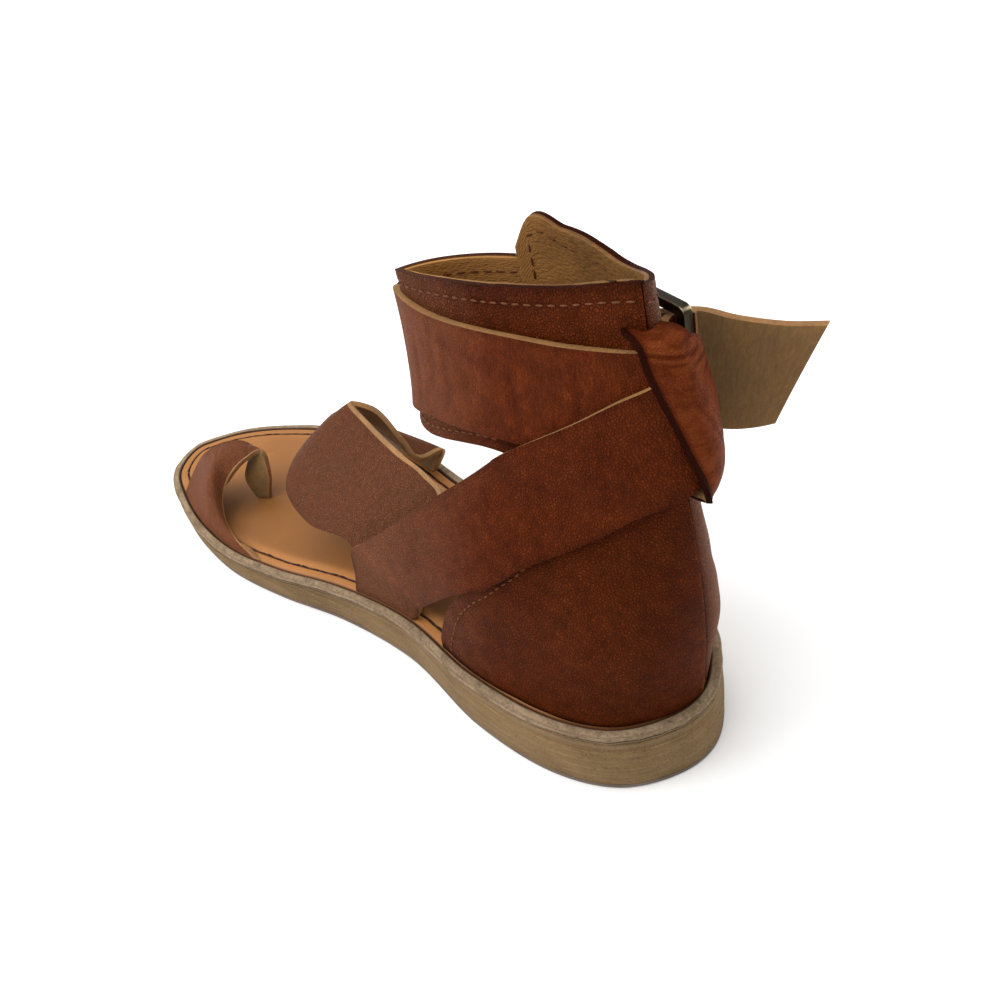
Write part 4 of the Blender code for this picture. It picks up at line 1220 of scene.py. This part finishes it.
def cuff_grid(depth, counts=(LOWER_ROWS, UPPER_ROWS), top_drop=0.0, side_drop=0.0):
    """Counter and cuff as one grid of points at a depth inside the form, and which cells it covers."""
    size = sizes()
    lower_rows, upper_rows = counts
    reach = COUNTER_ROWS[-1][1]
    start, end = CUFF_ROWS[0][0] + side_drop, CUFF_ROWS[-1][0] - side_drop
    lateral = np.linspace(start, -reach, 18)[:-1]
    seam = [-0.020, -0.010, 0.0, 0.010, 0.020]
    back = np.concatenate([np.linspace(-reach, -0.04, 44), seam, np.linspace(0.04, reach, 60)])
    medial = np.linspace(reach, end, 110)[1:]
    turns = np.concatenate([lateral, back, medial])
    first, last = len(lateral), len(lateral) + len(back) - 1
    split, top = read_table(CUFF_ROWS, turns)
    top = top - top_drop / size.cuff_height
    rows = []
    for r in range(lower_rows):
        up = split * r / lower_rows
        width = read_table(COUNTER_ROWS, up)[0] / reach
        here = turns.copy()
        inside = slice(first, last + 1)
        here[inside] = back * width[inside]
        rows.append((here, up))
    for r in range(upper_rows + 1):
        rows.append((turns, split + (top - split) * r / upper_rows))
    turn = np.array([row[0] for row in rows])
    up = np.array([row[1] for row in rows])
    line = read_table(SEAM_ROWS, up)[0] * (np.abs(turn) < 1.4)
    line = line * np.clip(1 - np.abs(turn) / 1.2, 0, 1)
    placed = turn + line
    points = ankle_point(placed, up, -depth - flap_inset(turn, up))
    ring = sole_ring(size.welt_width + size.gap + depth, count=900)
    away = ring[None] - points[0, :, None, :2]
    nearest = np.argmin((away ** 2).sum(axis=2), axis=1)
    shift = away[np.arange(len(nearest)), nearest]
    reach_out = np.linalg.norm(shift, axis=1, keepdims=True)
    shift = shift * np.minimum(1, DRAWN_OUT / np.maximum(reach_out, 1e-9))
    points[..., :2] += shift[None] * (1 - rise(up * size.cuff_height, 0, DRAWN_UP))[..., None]
    points[0, :, 2] = seat_height(points[0, :, 0]) + size.gap
    covered = np.zeros((len(turn) - 1, len(turns) - 1), bool)
    covered[lower_rows:] = True
    covered[:lower_rows, first:last] = True
    return points, turn, up, covered, split, top


def cut_to(piece, covered, rows):
    """Keep the covered cells of a grid piece; a cell is told by the lowest number of its vertices."""
    keep_faces(piece, lambda face: covered[min(face.vertices) % rows, min(face.vertices) // rows])


def build_cuff():
    size = sizes()
    points, turn, up, covered, split, top = cuff_grid(0.0)
    normals = grid_normals(points, (0, 0, 0.001))
    middle = ankle_axis(up)
    outward = points - middle
    outward[..., 2] = 0
    flip = np.sign((normals * outward).sum(axis=2))
    normals = normals * np.where(flip == 0, 1, flip)[..., None]
    height = size.cuff_height
    below_top = (top[None, :] - up) * height
    above_low = (up - split[None, :]) * height
    upper = up >= split[None, :] - 1e-9
    seat = up * height
    # Stitch lines sunk in, the seam's lapped step with a groove before it, and the foot drawn in
    push = -0.00022 * bell(below_top, TOP_STITCH_INSET, 0.0008)
    for inset in LOW_STITCH_INSETS:
        push += -0.00020 * bell(above_low, inset, 0.0007) * upper * (np.abs(turn) > 1.3)
    step = rise(turn, -0.004, 0.004)
    push += 0.0008 * step * np.exp(-np.clip(turn, 0, None) / 0.30)
    push += -0.00025 * bell(turn, -0.025, 0.02)
    push += -0.0004 * bell(seat, 0, 0.0016)
    # The tone follows the push: sunk stitch lines, the seam's groove and the drawn-in foot are darkened as
    # painted shade, and the lapped step is paler
    tone = np.clip(push / 0.0006, -1, 1) * (1 - bell(turn, 0.3, 0.5, 4))
    push += 0.00022 * waves(points, 0.034, 21) + 0.00010 * waves(points, 0.011, 22)
    push[0] = push[1]
    points = points + normals * push[..., None]
    points[0, :, 2] = seat_height(points[0, :, 0]) + size.gap
    # Darker along the top; painted shade along the foot, where it meets the insole, and in the groove beside
    # the seam, whose edge is rubbed
    tone -= 0.7 * bell(below_top, 0, 0.0016) + 0.55 * bell(seat, 0, 0.0018)
    tone -= 1.3 * bell(turn, -0.022, 0.022)
    tone += 0.6 * bell(turn, 0.012, 0.010)
    piece = grid_piece("cuff_leather", points, tone=np.clip(tone, -1, 1))
    cut_to(piece, covered, len(points))
    face_out(piece, middle[0, 0])
    thicken(piece, size.wall - size.lining - 0.00006, ("heel_grain", "strap_flesh", "cuff_edge"), 0.00035)
    finish_piece(piece, ["heel_cuff"])

    inner, *_, covered, _, _ = cuff_grid(size.wall - size.lining, (40, 34), 0.0002, 0.003)
    waved = inner + 0.00010 * waves(inner, 0.012, 31)[..., None] * np.array((1, 1, 0))
    lining = grid_piece("cuff_lining", waved)
    cut_to(lining, covered, len(waved))
    face_out(lining, middle[0, 0])
    thicken(lining, size.lining, ["cuff_lining_leather"] * 3, 0.0002)
    finish_piece(lining)
    sew_cuff(points, normals, turn, up, split, top)


def face_out(piece, axis):
    """Turn the faces of a ring-like sheet away from its upright axis."""
    total = 0.0
    for face in list(piece.data.polygons)[::37]:
        away = face.center - Vector(axis) + Vector((sizes().heel_rest, 0, 0))
        total += face.normal.x * away.x + face.normal.y * away.y
    if total < 0:
        pick(piece)
        flip_faces()


def inside_line(turns, ups):
    """A line on the inner face of the cuff's wall, and which way its lining faces there."""
    turns, ups = np.broadcast_arrays(np.asarray(turns, float), np.asarray(ups, float))
    base = -sizes().wall - flap_inset(turns, ups)
    path = ankle_point(turns, ups, base)
    e = 0.002
    around = ankle_point(turns + e, ups, base) - ankle_point(turns - e, ups, base)
    climb = ankle_point(turns, ups + e, base) - ankle_point(turns, ups - e, base)
    out = np.cross(climb, around)
    out /= np.maximum(np.linalg.norm(out, axis=1, keepdims=True), 1e-12)
    flip = np.sign((out * (path - ankle_axis(ups))).sum(axis=1))
    return path, -out * flip[:, None]


def sew_cuff(points, normals, turn, up, split, top):
    height = sizes().cuff_height

    def sew(name, path, out, **settings):
        stitch_row(name, path, out, "cuff_thread", "lined_leather", **settings)

    def row_at(start, end, below=None, above=None):
        path, out = [], []
        for j in range(turn.shape[1]):
            if not start <= turn[-1, j] <= end:
                continue
            goal = top[j] - below / height if below is not None else split[j] + above / height
            column = up[:, j]
            k = int(np.clip(np.searchsorted(column, goal) - 1, 0, len(column) - 2))
            share = (goal - column[k]) / (column[k + 1] - column[k])
            path.append(points[k, j] * (1 - share) + points[k + 1, j] * share)
            out.append(normals[k, j])
        return np.array(path), np.array(out)

    sew("cuff_top_stitch_medial", *row_at(0.09, 4.95, below=TOP_STITCH_INSET))
    sew("cuff_top_stitch_lateral", *row_at(-1.90, -0.03, below=TOP_STITCH_INSET))
    for k, inset in enumerate(LOW_STITCH_INSETS):
        sew(f"cuff_low_stitch_{k + 1}", *row_at(1.62, 4.95, above=inset), pitch=LONG_PITCH)

    def under_top(turns):
        return inside_line(turns, read_table(CUFF_ROWS, turns)[1] - TOP_STITCH_INSET / height)

    sew("lining_top_stitch_lateral", *under_top(np.linspace(LATERAL_FRONT, -0.02, 60)))
    sew("lining_front_stitch_lateral", *inside_line(np.full(30, -1.93), np.linspace(0.56, 0.915, 30)))
    sew("lining_top_stitch_medial", *under_top(np.linspace(0.05, 4.9, 140)))
    reach = COUNTER_ROWS[-1][1]
    first = int(np.searchsorted(turn[-1], -reach - 1e-6))
    last = int(np.searchsorted(turn[-1], reach - 1e-6))
    below_cuff = slice(1, len(up) - (UPPER_ROWS + 1) - 4)
    for name, j in (("counter_stitch_medial", last - 3), ("counter_stitch_lateral", first + 3)):
        sew(name, points[below_cuff, j], normals[below_cuff, j], pitch=LONG_PITCH)


# Straps

def lay_strap(name, node, points, outward, tone, grain, bare=None):
    """A strap of its outer face: its sheet, its thickness, its looks and the node that it stands for."""
    piece = grid_piece(name, points, outward=outward, tone=tone)
    if bare:
        bare_edge(piece, len(points), *bare)
    thicken(piece, sizes().strap, (grain, "strap_flesh", "strap_edge"))
    finish_piece(piece, [node])


def upright(x, y, level):
    """A row of points at one place, at several heights."""
    return np.column_stack([np.full(len(level), x), np.full(len(level), y), level])


def band_levels():
    """Heights of the band's lower and upper edge at the buckle."""
    size = sizes()
    return [size.heel_height + share * size.cuff_height for share in BAND_ROWS[-1][1:]]


def front_bar():
    size = sizes()
    turn, _, high = BAND_ROWS[-1]
    lift = size.ply_gap + size.strap + 2 * size.gap + size.buckle_wire / 2
    return ankle_point(turn, high, lift)[:2]


def rear_bar():
    size = sizes()
    bar = front_bar()
    return np.array((bar[0] - (size.buckle_length - size.buckle_wire), bar[1] + size.buckle_lean))


def tail_points(start):
    """Rows of the band's free end, outer face: under the front bar, over the fold and back to its cut."""
    size = sizes()
    bar = rear_bar()
    share = np.linspace(0, 1, len(start))
    level = blend(start[0][2], start[-1][2], share)
    span = size.buckle_length - size.buckle_wire
    under = ankle_point(BAND_ROWS[-1][0], BAND_ROWS[-1][2], size.ply_gap)[1]
    over = bar[1] - size.buckle_wire / 2 - size.gap - size.strap - 2 * size.ply_gap
    rows = []
    for way, climb in PASS_ROWS:
        x = bar[0] + span * (1 - way)
        rows.append(upright(x, blend(under, over, climb) - size.strap, level))
    for low_back, high_back, out, low_up, high_up in TAIL_ROWS:
        back = blend(low_back, high_back, share) * size.tail
        lift = blend(low_up, high_up, share) * size.cuff_height
        y = over - out * size.tail - size.strap
        rows.append(np.column_stack([bar[0] - back, np.full(len(share), y), level + lift]))
    return rows


def build_band():
    size = sizes()
    across = 34
    turns = np.linspace(BAND_ROWS[0][0], BAND_ROWS[-1][0], 250)
    low, high = read_table(BAND_ROWS, turns)
    share = np.linspace(0, 1, across + 1)
    up = low[:, None] + (high - low)[:, None] * share
    form = ankle_point(turns[:, None], up, size.ply_gap + size.strap)
    rows = [form[-1]] + tail_points(form[-1])
    tail = resample(rows, 54)[1:]
    points = np.concatenate([form, tail])
    points, tone = crease(points, (1, 0, 0), BAND_CREASES, 0.00010, 0.022, 3)
    lay_strap("ankle_band_strap", "ankle_band", points, (1, 0, 0), edge_tone(points, tone), "cognac_band")


# Breadth of the darkened edge of a strap (m)
EDGE_SHADE = 0.0012


def edge_tone(points, tone, burnish=0.35):
    """Darken a strap's long edges a little."""
    across = strap_lengths(points)[1]
    near = np.minimum(across, across[:, -1:] - across)
    return np.clip(tone - burnish * bell(near, 0, EDGE_SHADE), -1, 1)


def wrap_lift(turn, up):
    size = sizes()
    low = read_table(BAND_ROWS, turn)[0]
    over = rise(up - low, -0.120, -0.004) * rise(turn, -0.35, 0.05)
    return size.ply_gap + (size.strap + size.ply_gap) * over


# Wrap strap: straight run before the bar (m), its foot's rows that are smoothed and how often,
# and how far up from the sole the foot is darkened (m)
FOLD_LEAD = 0.0062
SMOOTHED_BEFORE, SMOOTHED_AFTER = 30, 16
SMOOTHINGS = 150
FOOT_SHADE = (0.012, 0.022)


def wrap_fold(line):
    """Rows that carry the wrap strap off the form, round the buckle's rear bar and back on itself."""
    size = sizes()
    bar = rear_bar()
    radius = size.buckle_wire / 2 + size.gap + size.strap
    low, high = band_levels()
    approach = math.atan2(bar[1] - line[0][1], bar[0] - line[0][0])
    inner = approach + math.pi / 2
    spots = [(bar[0] + radius * math.cos(inner) - FOLD_LEAD * math.cos(approach),
              bar[1] + radius * math.sin(inner) - FOLD_LEAD * math.sin(approach))]
    for turn in np.linspace(0, 1, 14):
        angle = inner + (math.radians(-90) - inner) * turn
        spots.append((bar[0] + radius * math.cos(angle), bar[1] + radius * math.sin(angle)))
    level = np.linspace(low, high, len(line))
    return [upright(x, y, level) for x, y in spots]


def build_wrap():
    size = sizes()
    across = 34
    share = np.linspace(0, 1, across + 1)
    laid = curve_through(range(len(WRAP_ROWS)), WRAP_ROWS, np.linspace(0, len(WRAP_ROWS) - 1, 190))
    turn = blend(laid[:, :1], laid[:, 2:3], share)
    up = blend(laid[:, 1:2], laid[:, 3:], share)
    form = ankle_point(turn, up, wrap_lift(turn, up) + size.strap)
    x = blend(*WRAP_FOOT, share) * size.sole_length
    edge = edge_across(x, size.welt_width + size.gap, 0)
    foot = [np.column_stack([x, edge, seat_height(x) + size.gap])]
    for low_x, low_y, low_up, high_x, high_y, high_up in WRAP_FOOT_ROWS:
        x = blend(low_x, high_x, share) * size.sole_length
        y = blend(low_y, high_y, share) * size.heel_width
        lift = blend(low_up, high_up, share) * size.cuff_height
        foot.append(np.column_stack([x, y, seat_height(x) + lift]))
    foot = resample(foot + [form[0]], 44, form[8])[:-1]
    fold = resample([form[-1]] + wrap_fold(form[-1]), 60)[1:]
    points = np.concatenate([foot, form, fold])
    base = points[0].copy()
    start, end = len(foot) - SMOOTHED_BEFORE, len(foot) + SMOOTHED_AFTER
    for _ in range(SMOOTHINGS):
        points[start:end] = (points[start - 1:end - 1] + points[start + 1:end + 1]) / 2
    points, tone = crease(points, (-1, 1, 0), WRAP_CREASES, 0.00014, 0.020, 4)
    points[0] = base
    along = strap_lengths(points)[0]
    tone = edge_tone(points, 0.3 * tone - 0.45 * (1 - rise(along, *FOOT_SHADE)))
    lay_strap("wrap_strap_leather", "wrap_strap", points, (-1, 1, 0), tone, "cognac_grain")


# Columns of cells at the rear edge of the vamp strap and the toe loop that show the cut edge's look
BARE_COLUMNS = 2


def build_vamp():
    size = sizes()
    across = 48
    share = np.linspace(0, 1, across + 1)

    def foot(places, side, inset):
        x = blend(*places, share) * size.sole_length
        return np.column_stack([x, edge_across(x, inset, side), seat_height(x) + size.gap])

    rows = [foot(VAMP_LATERAL_FOOT, 1, size.welt_width + size.gap)]
    for rear_x, rear_y, rear_up, front_x, front_y, front_up, bulge in VAMP_ROWS:
        x = blend(rear_x, front_x, share) * size.sole_length
        y = blend(rear_y, front_y, share) * size.ball_width
        up = (blend(rear_up, front_up, share) + bulge * 4 * share * (1 - share)) * size.vamp_height
        rows.append(np.column_stack([x, y, seat_height(x) + up]))
    rows.append(foot(VAMP_MEDIAL_FOOT, 0, size.welt_width + size.gap + size.strap + 2 * size.ply_gap))
    points = resample(rows, 170)
    ends = points[0].copy(), points[-1].copy()
    points, tone = crease(points, (0.5, 0, 1), VAMP_CREASES, 0.00016, 0.022, 6)
    points[0], points[-1] = ends
    tone = edge_tone(points, tone - 0.35 * share)
    lay_strap("vamp_strap_leather", "vamp_strap", points, (0.5, 0, 1), tone, "cognac_front",
              bare=(0, BARE_COLUMNS))


def build_toe_loop():
    size = sizes()
    across = 36
    share = np.linspace(0, 2, across + 1)
    x = blend(*TOE_LOOP_FOOT, share / 2) * size.sole_length
    rows = [np.column_stack([x, edge_across(x, size.welt_width + size.gap, 0), seat_height(x) + size.gap])]
    for row in TOE_LOOP_ROWS:
        along, side, up = curve_through((0, 1, 2), np.reshape(row, (3, 3)), share).T
        x = along * size.sole_length
        rows.append(np.column_stack([x, side * size.ball_width, seat_height(x) + up * size.toe_loop_height]))
    points = resample(rows, 110)
    for k in (0, -1):
        points[k, :, 2] = seat_height(points[k, :, 0]) + size.gap
    ends = points[0].copy(), points[-1].copy()
    points, tone = crease(points, (0, 0.3, 1), TOE_CREASES, 0.00010, 0.018, 8)
    points[0], points[-1] = ends
    # The loop's tone is raised all over, painting it paler: painted sheen
    tone = edge_tone(points, tone + 0.7)
    lay_strap("toe_loop_leather", "toe_loop", points, (0, 0.3, 1), tone, "cognac_front",
              bare=(across - BARE_COLUMNS, across))


# Keeper: how far its medial edge stands out (m), and the share of its width that is darkened there, partly
# its own dark edge and partly painted shadow of the gap beside it
KEEPER_FLARE = 0.0016
DARK_EDGE_AND_SHADOW_SHARE = 0.085


def build_keeper():
    size = sizes()
    across = 30
    share = np.linspace(0, 1, across + 1)
    last = len(KEEPER_ROWS) - 1
    rise_out = size.keeper / size.cuff_height
    turned = [(0, out, rise_out) for out in (0.0, 0.35, 0.7)]
    laid = [(place, 1.0, 0.0) for place in np.linspace(0, last, 50)]
    under = [(last, out, -rise_out) for out in (0.7, 0.35, 0.0)]
    rows = []
    for place, out, beyond in turned + laid + under:
        medial_up, lateral_up, medial, lateral, bulge = curve_through(range(last + 1), KEEPER_ROWS, place)
        turn = blend(medial, lateral, share)
        up = blend(medial_up, lateral_up, share)
        bearing = wrap_lift(np.maximum(turn, 0), up) + size.strap
        lift = size.ply_gap + (bearing + size.ply_gap) * out
        if out == 1.0:
            lift = lift + size.keeper_bulge * bulge * np.sin(np.pi * share) + size.keeper
            lift = lift + KEEPER_FLARE * np.exp(-share / 0.12)
        rows.append(ankle_point(turn, up + beyond, lift))
    points = resample(rows, 96)
    points, tone = crease(points, (-1, 0, 0), KEEPER_CREASES, 0.00010, 0.012, 12)
    # The medial edge is painted dark: partly its own thick dark edge, partly painted shadow of the gap beside
    # it
    tone = np.clip(edge_tone(points, tone, 0.7) + 0.35 - 1.8 * bell(share, 0, DARK_EDGE_AND_SHADOW_SHARE, 4), -1, 1)
    piece = grid_piece("keeper_leather", points, outward=(-1, 0, 0), tone=tone)
    thicken(piece, size.keeper, ("keeper_smooth", "strap_flesh", "cuff_edge"), 0.0004)
    finish_piece(piece, ["keeper_loop"])


# Buckle

CORNER_RADIUS = 0.0024
WORN_RADIUS = 0.00045


def build_buckle():
    size = sizes()
    rear, front = rear_bar(), front_bar()
    low, high = band_levels()
    low = low - size.buckle_slack - size.buckle_wire
    high = high + size.buckle_slack + size.buckle_wire
    way = np.append(front - rear, 0) / np.linalg.norm(front - rear)
    along = np.linalg.norm(front - rear) + size.buckle_wire
    deselect()
    bpy.ops.mesh.primitive_plane_add(size=1)
    piece = bpy.context.object
    piece.name = piece.data.name = "buckle_frame_brass"
    piece.data.transform(Matrix.Diagonal((along, high - low, 1, 1)))
    bpy.ops.object.mode_set(mode="EDIT")
    bpy.ops.mesh.select_all(action="SELECT")
    bpy.ops.mesh.inset(thickness=size.buckle_wire)
    bpy.ops.mesh.delete(type="FACE")
    bpy.ops.mesh.select_all(action="SELECT")
    bpy.ops.mesh.extrude_region_move(TRANSFORM_OT_translate={"value": (0, 0, size.buckle_wire)})
    bpy.ops.mesh.select_all(action="SELECT")
    bpy.ops.mesh.normals_make_consistent(inside=False)
    bpy.ops.mesh.select_all(action="DESELECT")
    bpy.ops.mesh.select_mode(type="EDGE")
    bpy.ops.object.mode_set(mode="OBJECT")
    for edge in piece.data.edges:
        a, b = (piece.data.vertices[k].co for k in edge.vertices)
        corner = abs(abs(a.x) - along / 2) < 1e-6 and abs(abs(a.y) - (high - low) / 2) < 1e-6
        edge.select = corner and abs(a.x - b.x) < 1e-7 and abs(a.y - b.y) < 1e-7
    bpy.ops.object.mode_set(mode="EDIT")
    bpy.ops.mesh.bevel(offset=CORNER_RADIUS, segments=6, affect="EDGES")
    bpy.ops.mesh.select_mode(type="VERT")
    bpy.ops.object.mode_set(mode="OBJECT")
    apply_modifier(piece, "BEVEL", "worn edges", width=WORN_RADIUS, segments=3, limit_method="ANGLE",
                   angle_limit=math.radians(40))
    middle = Vector(((rear[0] + front[0]) / 2 - size.heel_rest, (rear[1] + front[1]) / 2, (low + high) / 2))
    along_axis, up_axis = Vector(way), Vector((0, 0, 1))
    out = along_axis.cross(up_axis).normalized()
    if out.y > 0:
        out = -out
    turn = Matrix((along_axis, up_axis, out)).transposed()
    if turn.determinant() < 0:
        turn = Matrix((-along_axis, up_axis, out)).transposed()
    piece.data.transform(Matrix.Translation(middle - out * size.buckle_wire / 2) @ turn.to_4x4())
    tone = piece.data.attributes.new("tone", "FLOAT", "POINT")
    sharp = np.zeros(len(piece.data.vertices))
    for vertex in piece.data.vertices:
        flatness = max(abs(vertex.normal @ axis) for axis in (along_axis, up_axis, out))
        sharp[vertex.index] = 1.0 - max(0.0, (flatness - 0.72) / 0.28)
    tone.data.foreach_set("value", np.clip(sharp, 0, 1))
    finish_piece(piece, ["buckle_frame"], angle=50, finish="buckle_brass")

    ring = size.buckle_wire / 2 + 2 * size.gap + size.prong
    path = []
    for angle in np.radians(np.linspace(150, -18, 16)):
        path.append((rear[0] + ring * math.cos(angle), rear[1] + ring * math.sin(angle), (low + high) / 2))
    path += [(front[0] + ring * 0.2, front[1] - ring, (low + high) / 2),
             (front[0] + ring, front[1] - ring, (low + high) / 2)]
    path = resample(np.array(path)[:, None], 60)[:, 0]
    radii = np.full(60, size.prong)
    radii[:4] = size.prong * np.array((0.001, 0.6, 0.9, 1.0))
    radii[-5:] = size.prong * np.array((0.98, 0.92, 0.8, 0.55, 0.001))
    prong = tube("buckle_prong_brass", path, radii)
    finish_piece(prong, ["buckle_prong"], angle=60, finish="buckle_brass")


# Stage

CAMERA_PLACE = (-0.1309, 0.1230, 0.2318)
CAMERA_WAY = (0.6151, -0.4669, -0.6347)
CAMERA_ROLL = -13.8


def hang_lamp(lamp, spot, way):
    """Put a lamp at a place and turn it to shine one way."""
    holder = bpy.data.objects.new(lamp.name, lamp)
    bpy.context.scene.collection.objects.link(holder)
    holder.location = spot
    holder.rotation_euler = way.to_track_quat("-Z", "Y").to_euler()


def build_stage():
    deselect()
    bpy.ops.mesh.primitive_plane_add(size=1)
    floor = bpy.context.object
    floor.name = floor.data.name = "studio_floor"
    floor.data.transform(Matrix.Translation((0, 0, -0.0001)) @ Matrix.Diagonal((80, 80, 1, 1)))
    made, tree, shader, spot = blank("floor_paper")
    patch = spread(tree, noise(tree, spot, 3, 2.0), 0.3, 0.7)
    feed(tree, shader, {"Base Color": two_tints(tree, patch, paints().floor, 0.985, 1.0), "Roughness": 0.9})
    floor.data.materials.append(made)

    scene = bpy.context.scene
    world = bpy.data.worlds.new("studio_air")
    world.use_nodes = True
    world.node_tree.nodes["Background"].inputs[0].default_value = (1.0, 0.99, 0.98, 1)
    world.node_tree.nodes["Background"].inputs[1].default_value = 0.55
    scene.world = world
    scene.view_settings.view_transform = "Standard"
    # Soft boxes: name, place, aim, width, height (m) and power (W)
    lamps = (
        ("window_softbox", (1.05, 1.00, 0.90), (0.05, 0, 0.05), 1.2, 1.0, 12.0),
        ("rear_softbox", (-0.75, -1.05, 0.55), (0.0, 0, 0.06), 0.6, 0.9, 6.0),
    )
    for name, spot, aim, wide, tall, power in lamps:
        lamp = bpy.data.lights.new(name, "AREA")
        lamp.shape = "RECTANGLE"
        lamp.size, lamp.size_y, lamp.energy = wide, tall, power
        hang_lamp(lamp, spot, Vector(aim) - Vector(spot))

    sky = bpy.data.lights.new("sky_light", "SUN")
    sky.energy = 2.4
    sky.angle = math.radians(80)
    hang_lamp(sky, (0, 0, 0), Vector((-0.35, -0.30, -1)))

    camera = bpy.data.objects.new("photo_camera", bpy.data.cameras.new("photo_camera"))
    scene.collection.objects.link(camera)
    camera.data.sensor_width = 36
    camera.data.lens = 34.2
    camera.data.clip_start = 0.01
    ahead = Vector(CAMERA_WAY).normalized()
    right = ahead.cross(Vector((0, 0, 1))).normalized()
    up = right.cross(ahead)
    roll = math.radians(CAMERA_ROLL)
    side = right * math.cos(roll) + up * math.sin(roll)
    top = up * math.cos(roll) - right * math.sin(roll)
    camera.matrix_world = Matrix.Translation(CAMERA_PLACE) @ Matrix((side, top, -ahead)).transposed().to_4x4()
    scene.camera = camera


class SANDAL_OT_sole(bpy.types.Operator):
    """Make the tread layer, the stacked wedge and the welt"""
    bl_idname = "sandal.sole"
    bl_label = "Sole Layers"

    def execute(self, context):
        build_outsole()
        build_wedge()
        build_welt()
        return {"FINISHED"}


class SANDAL_OT_insole(bpy.types.Operator):
    """Make the insole with its stitched groove"""
    bl_idname = "sandal.insole"
    bl_label = "Insole"

    def execute(self, context):
        build_insole()
        return {"FINISHED"}


class SANDAL_OT_cuff(bpy.types.Operator):
    """Make the heel counter and cuff, their lining and stitches"""
    bl_idname = "sandal.cuff"
    bl_label = "Heel Cuff"

    def execute(self, context):
        build_cuff()
        return {"FINISHED"}


class SANDAL_OT_straps(bpy.types.Operator):
    """Make the ankle band, the wrap strap and the keeper"""
    bl_idname = "sandal.straps"
    bl_label = "Ankle Straps"

    def execute(self, context):
        build_band()
        build_wrap()
        build_keeper()
        return {"FINISHED"}


class SANDAL_OT_front(bpy.types.Operator):
    """Make the vamp strap and the toe loop"""
    bl_idname = "sandal.front"
    bl_label = "Vamp and Toe Loop"

    def execute(self, context):
        build_vamp()
        build_toe_loop()
        return {"FINISHED"}


class SANDAL_OT_buckle(bpy.types.Operator):
    """Make the buckle and its prong"""
    bl_idname = "sandal.buckle"
    bl_label = "Buckle"

    def execute(self, context):
        build_buckle()
        return {"FINISHED"}


class SANDAL_OT_stage(bpy.types.Operator):
    """Set out the floor, the soft light and the camera"""
    bl_idname = "sandal.stage"
    bl_label = "Studio Stage"

    def execute(self, context):
        build_stage()
        return {"FINISHED"}


OPERATORS = (SANDAL_OT_stage, SANDAL_OT_sole, SANDAL_OT_insole, SANDAL_OT_cuff, SANDAL_OT_straps,
             SANDAL_OT_front, SANDAL_OT_buckle)


class SANDAL_PT_panel(bpy.types.Panel):
    bl_label = "Leather Sandal"
    bl_idname = "SANDAL_PT_panel"
    bl_space_type = "VIEW_3D"
    bl_region_type = "UI"
    bl_category = "Sandal"

    def draw(self, context):
        for operator in OPERATORS:
            self.layout.operator(operator.bl_idname)
        for group in (context.scene.sandal_sizes, context.scene.sandal_colours):
            for key in group.__annotations__:
                self.layout.prop(group, key)


CLASSES = (SandalSizes, SandalColours, *OPERATORS, SANDAL_PT_panel)


def register():
    for made in CLASSES:
        bpy.utils.register_class(made)
    bpy.types.Scene.sandal_sizes = bpy.props.PointerProperty(type=SandalSizes)
    bpy.types.Scene.sandal_colours = bpy.props.PointerProperty(type=SandalColours)


def unregister():
    del bpy.types.Scene.sandal_colours
    del bpy.types.Scene.sandal_sizes
    for made in reversed(CLASSES):
        bpy.utils.unregister_class(made)


def main():
    register()
    bpy.ops.sandal.stage()
    bpy.ops.sandal.sole()
    bpy.ops.sandal.insole()
    bpy.ops.sandal.cuff()
    bpy.ops.sandal.straps()
    bpy.ops.sandal.front()
    bpy.ops.sandal.buckle()


if __name__ == "__main__":
    main()
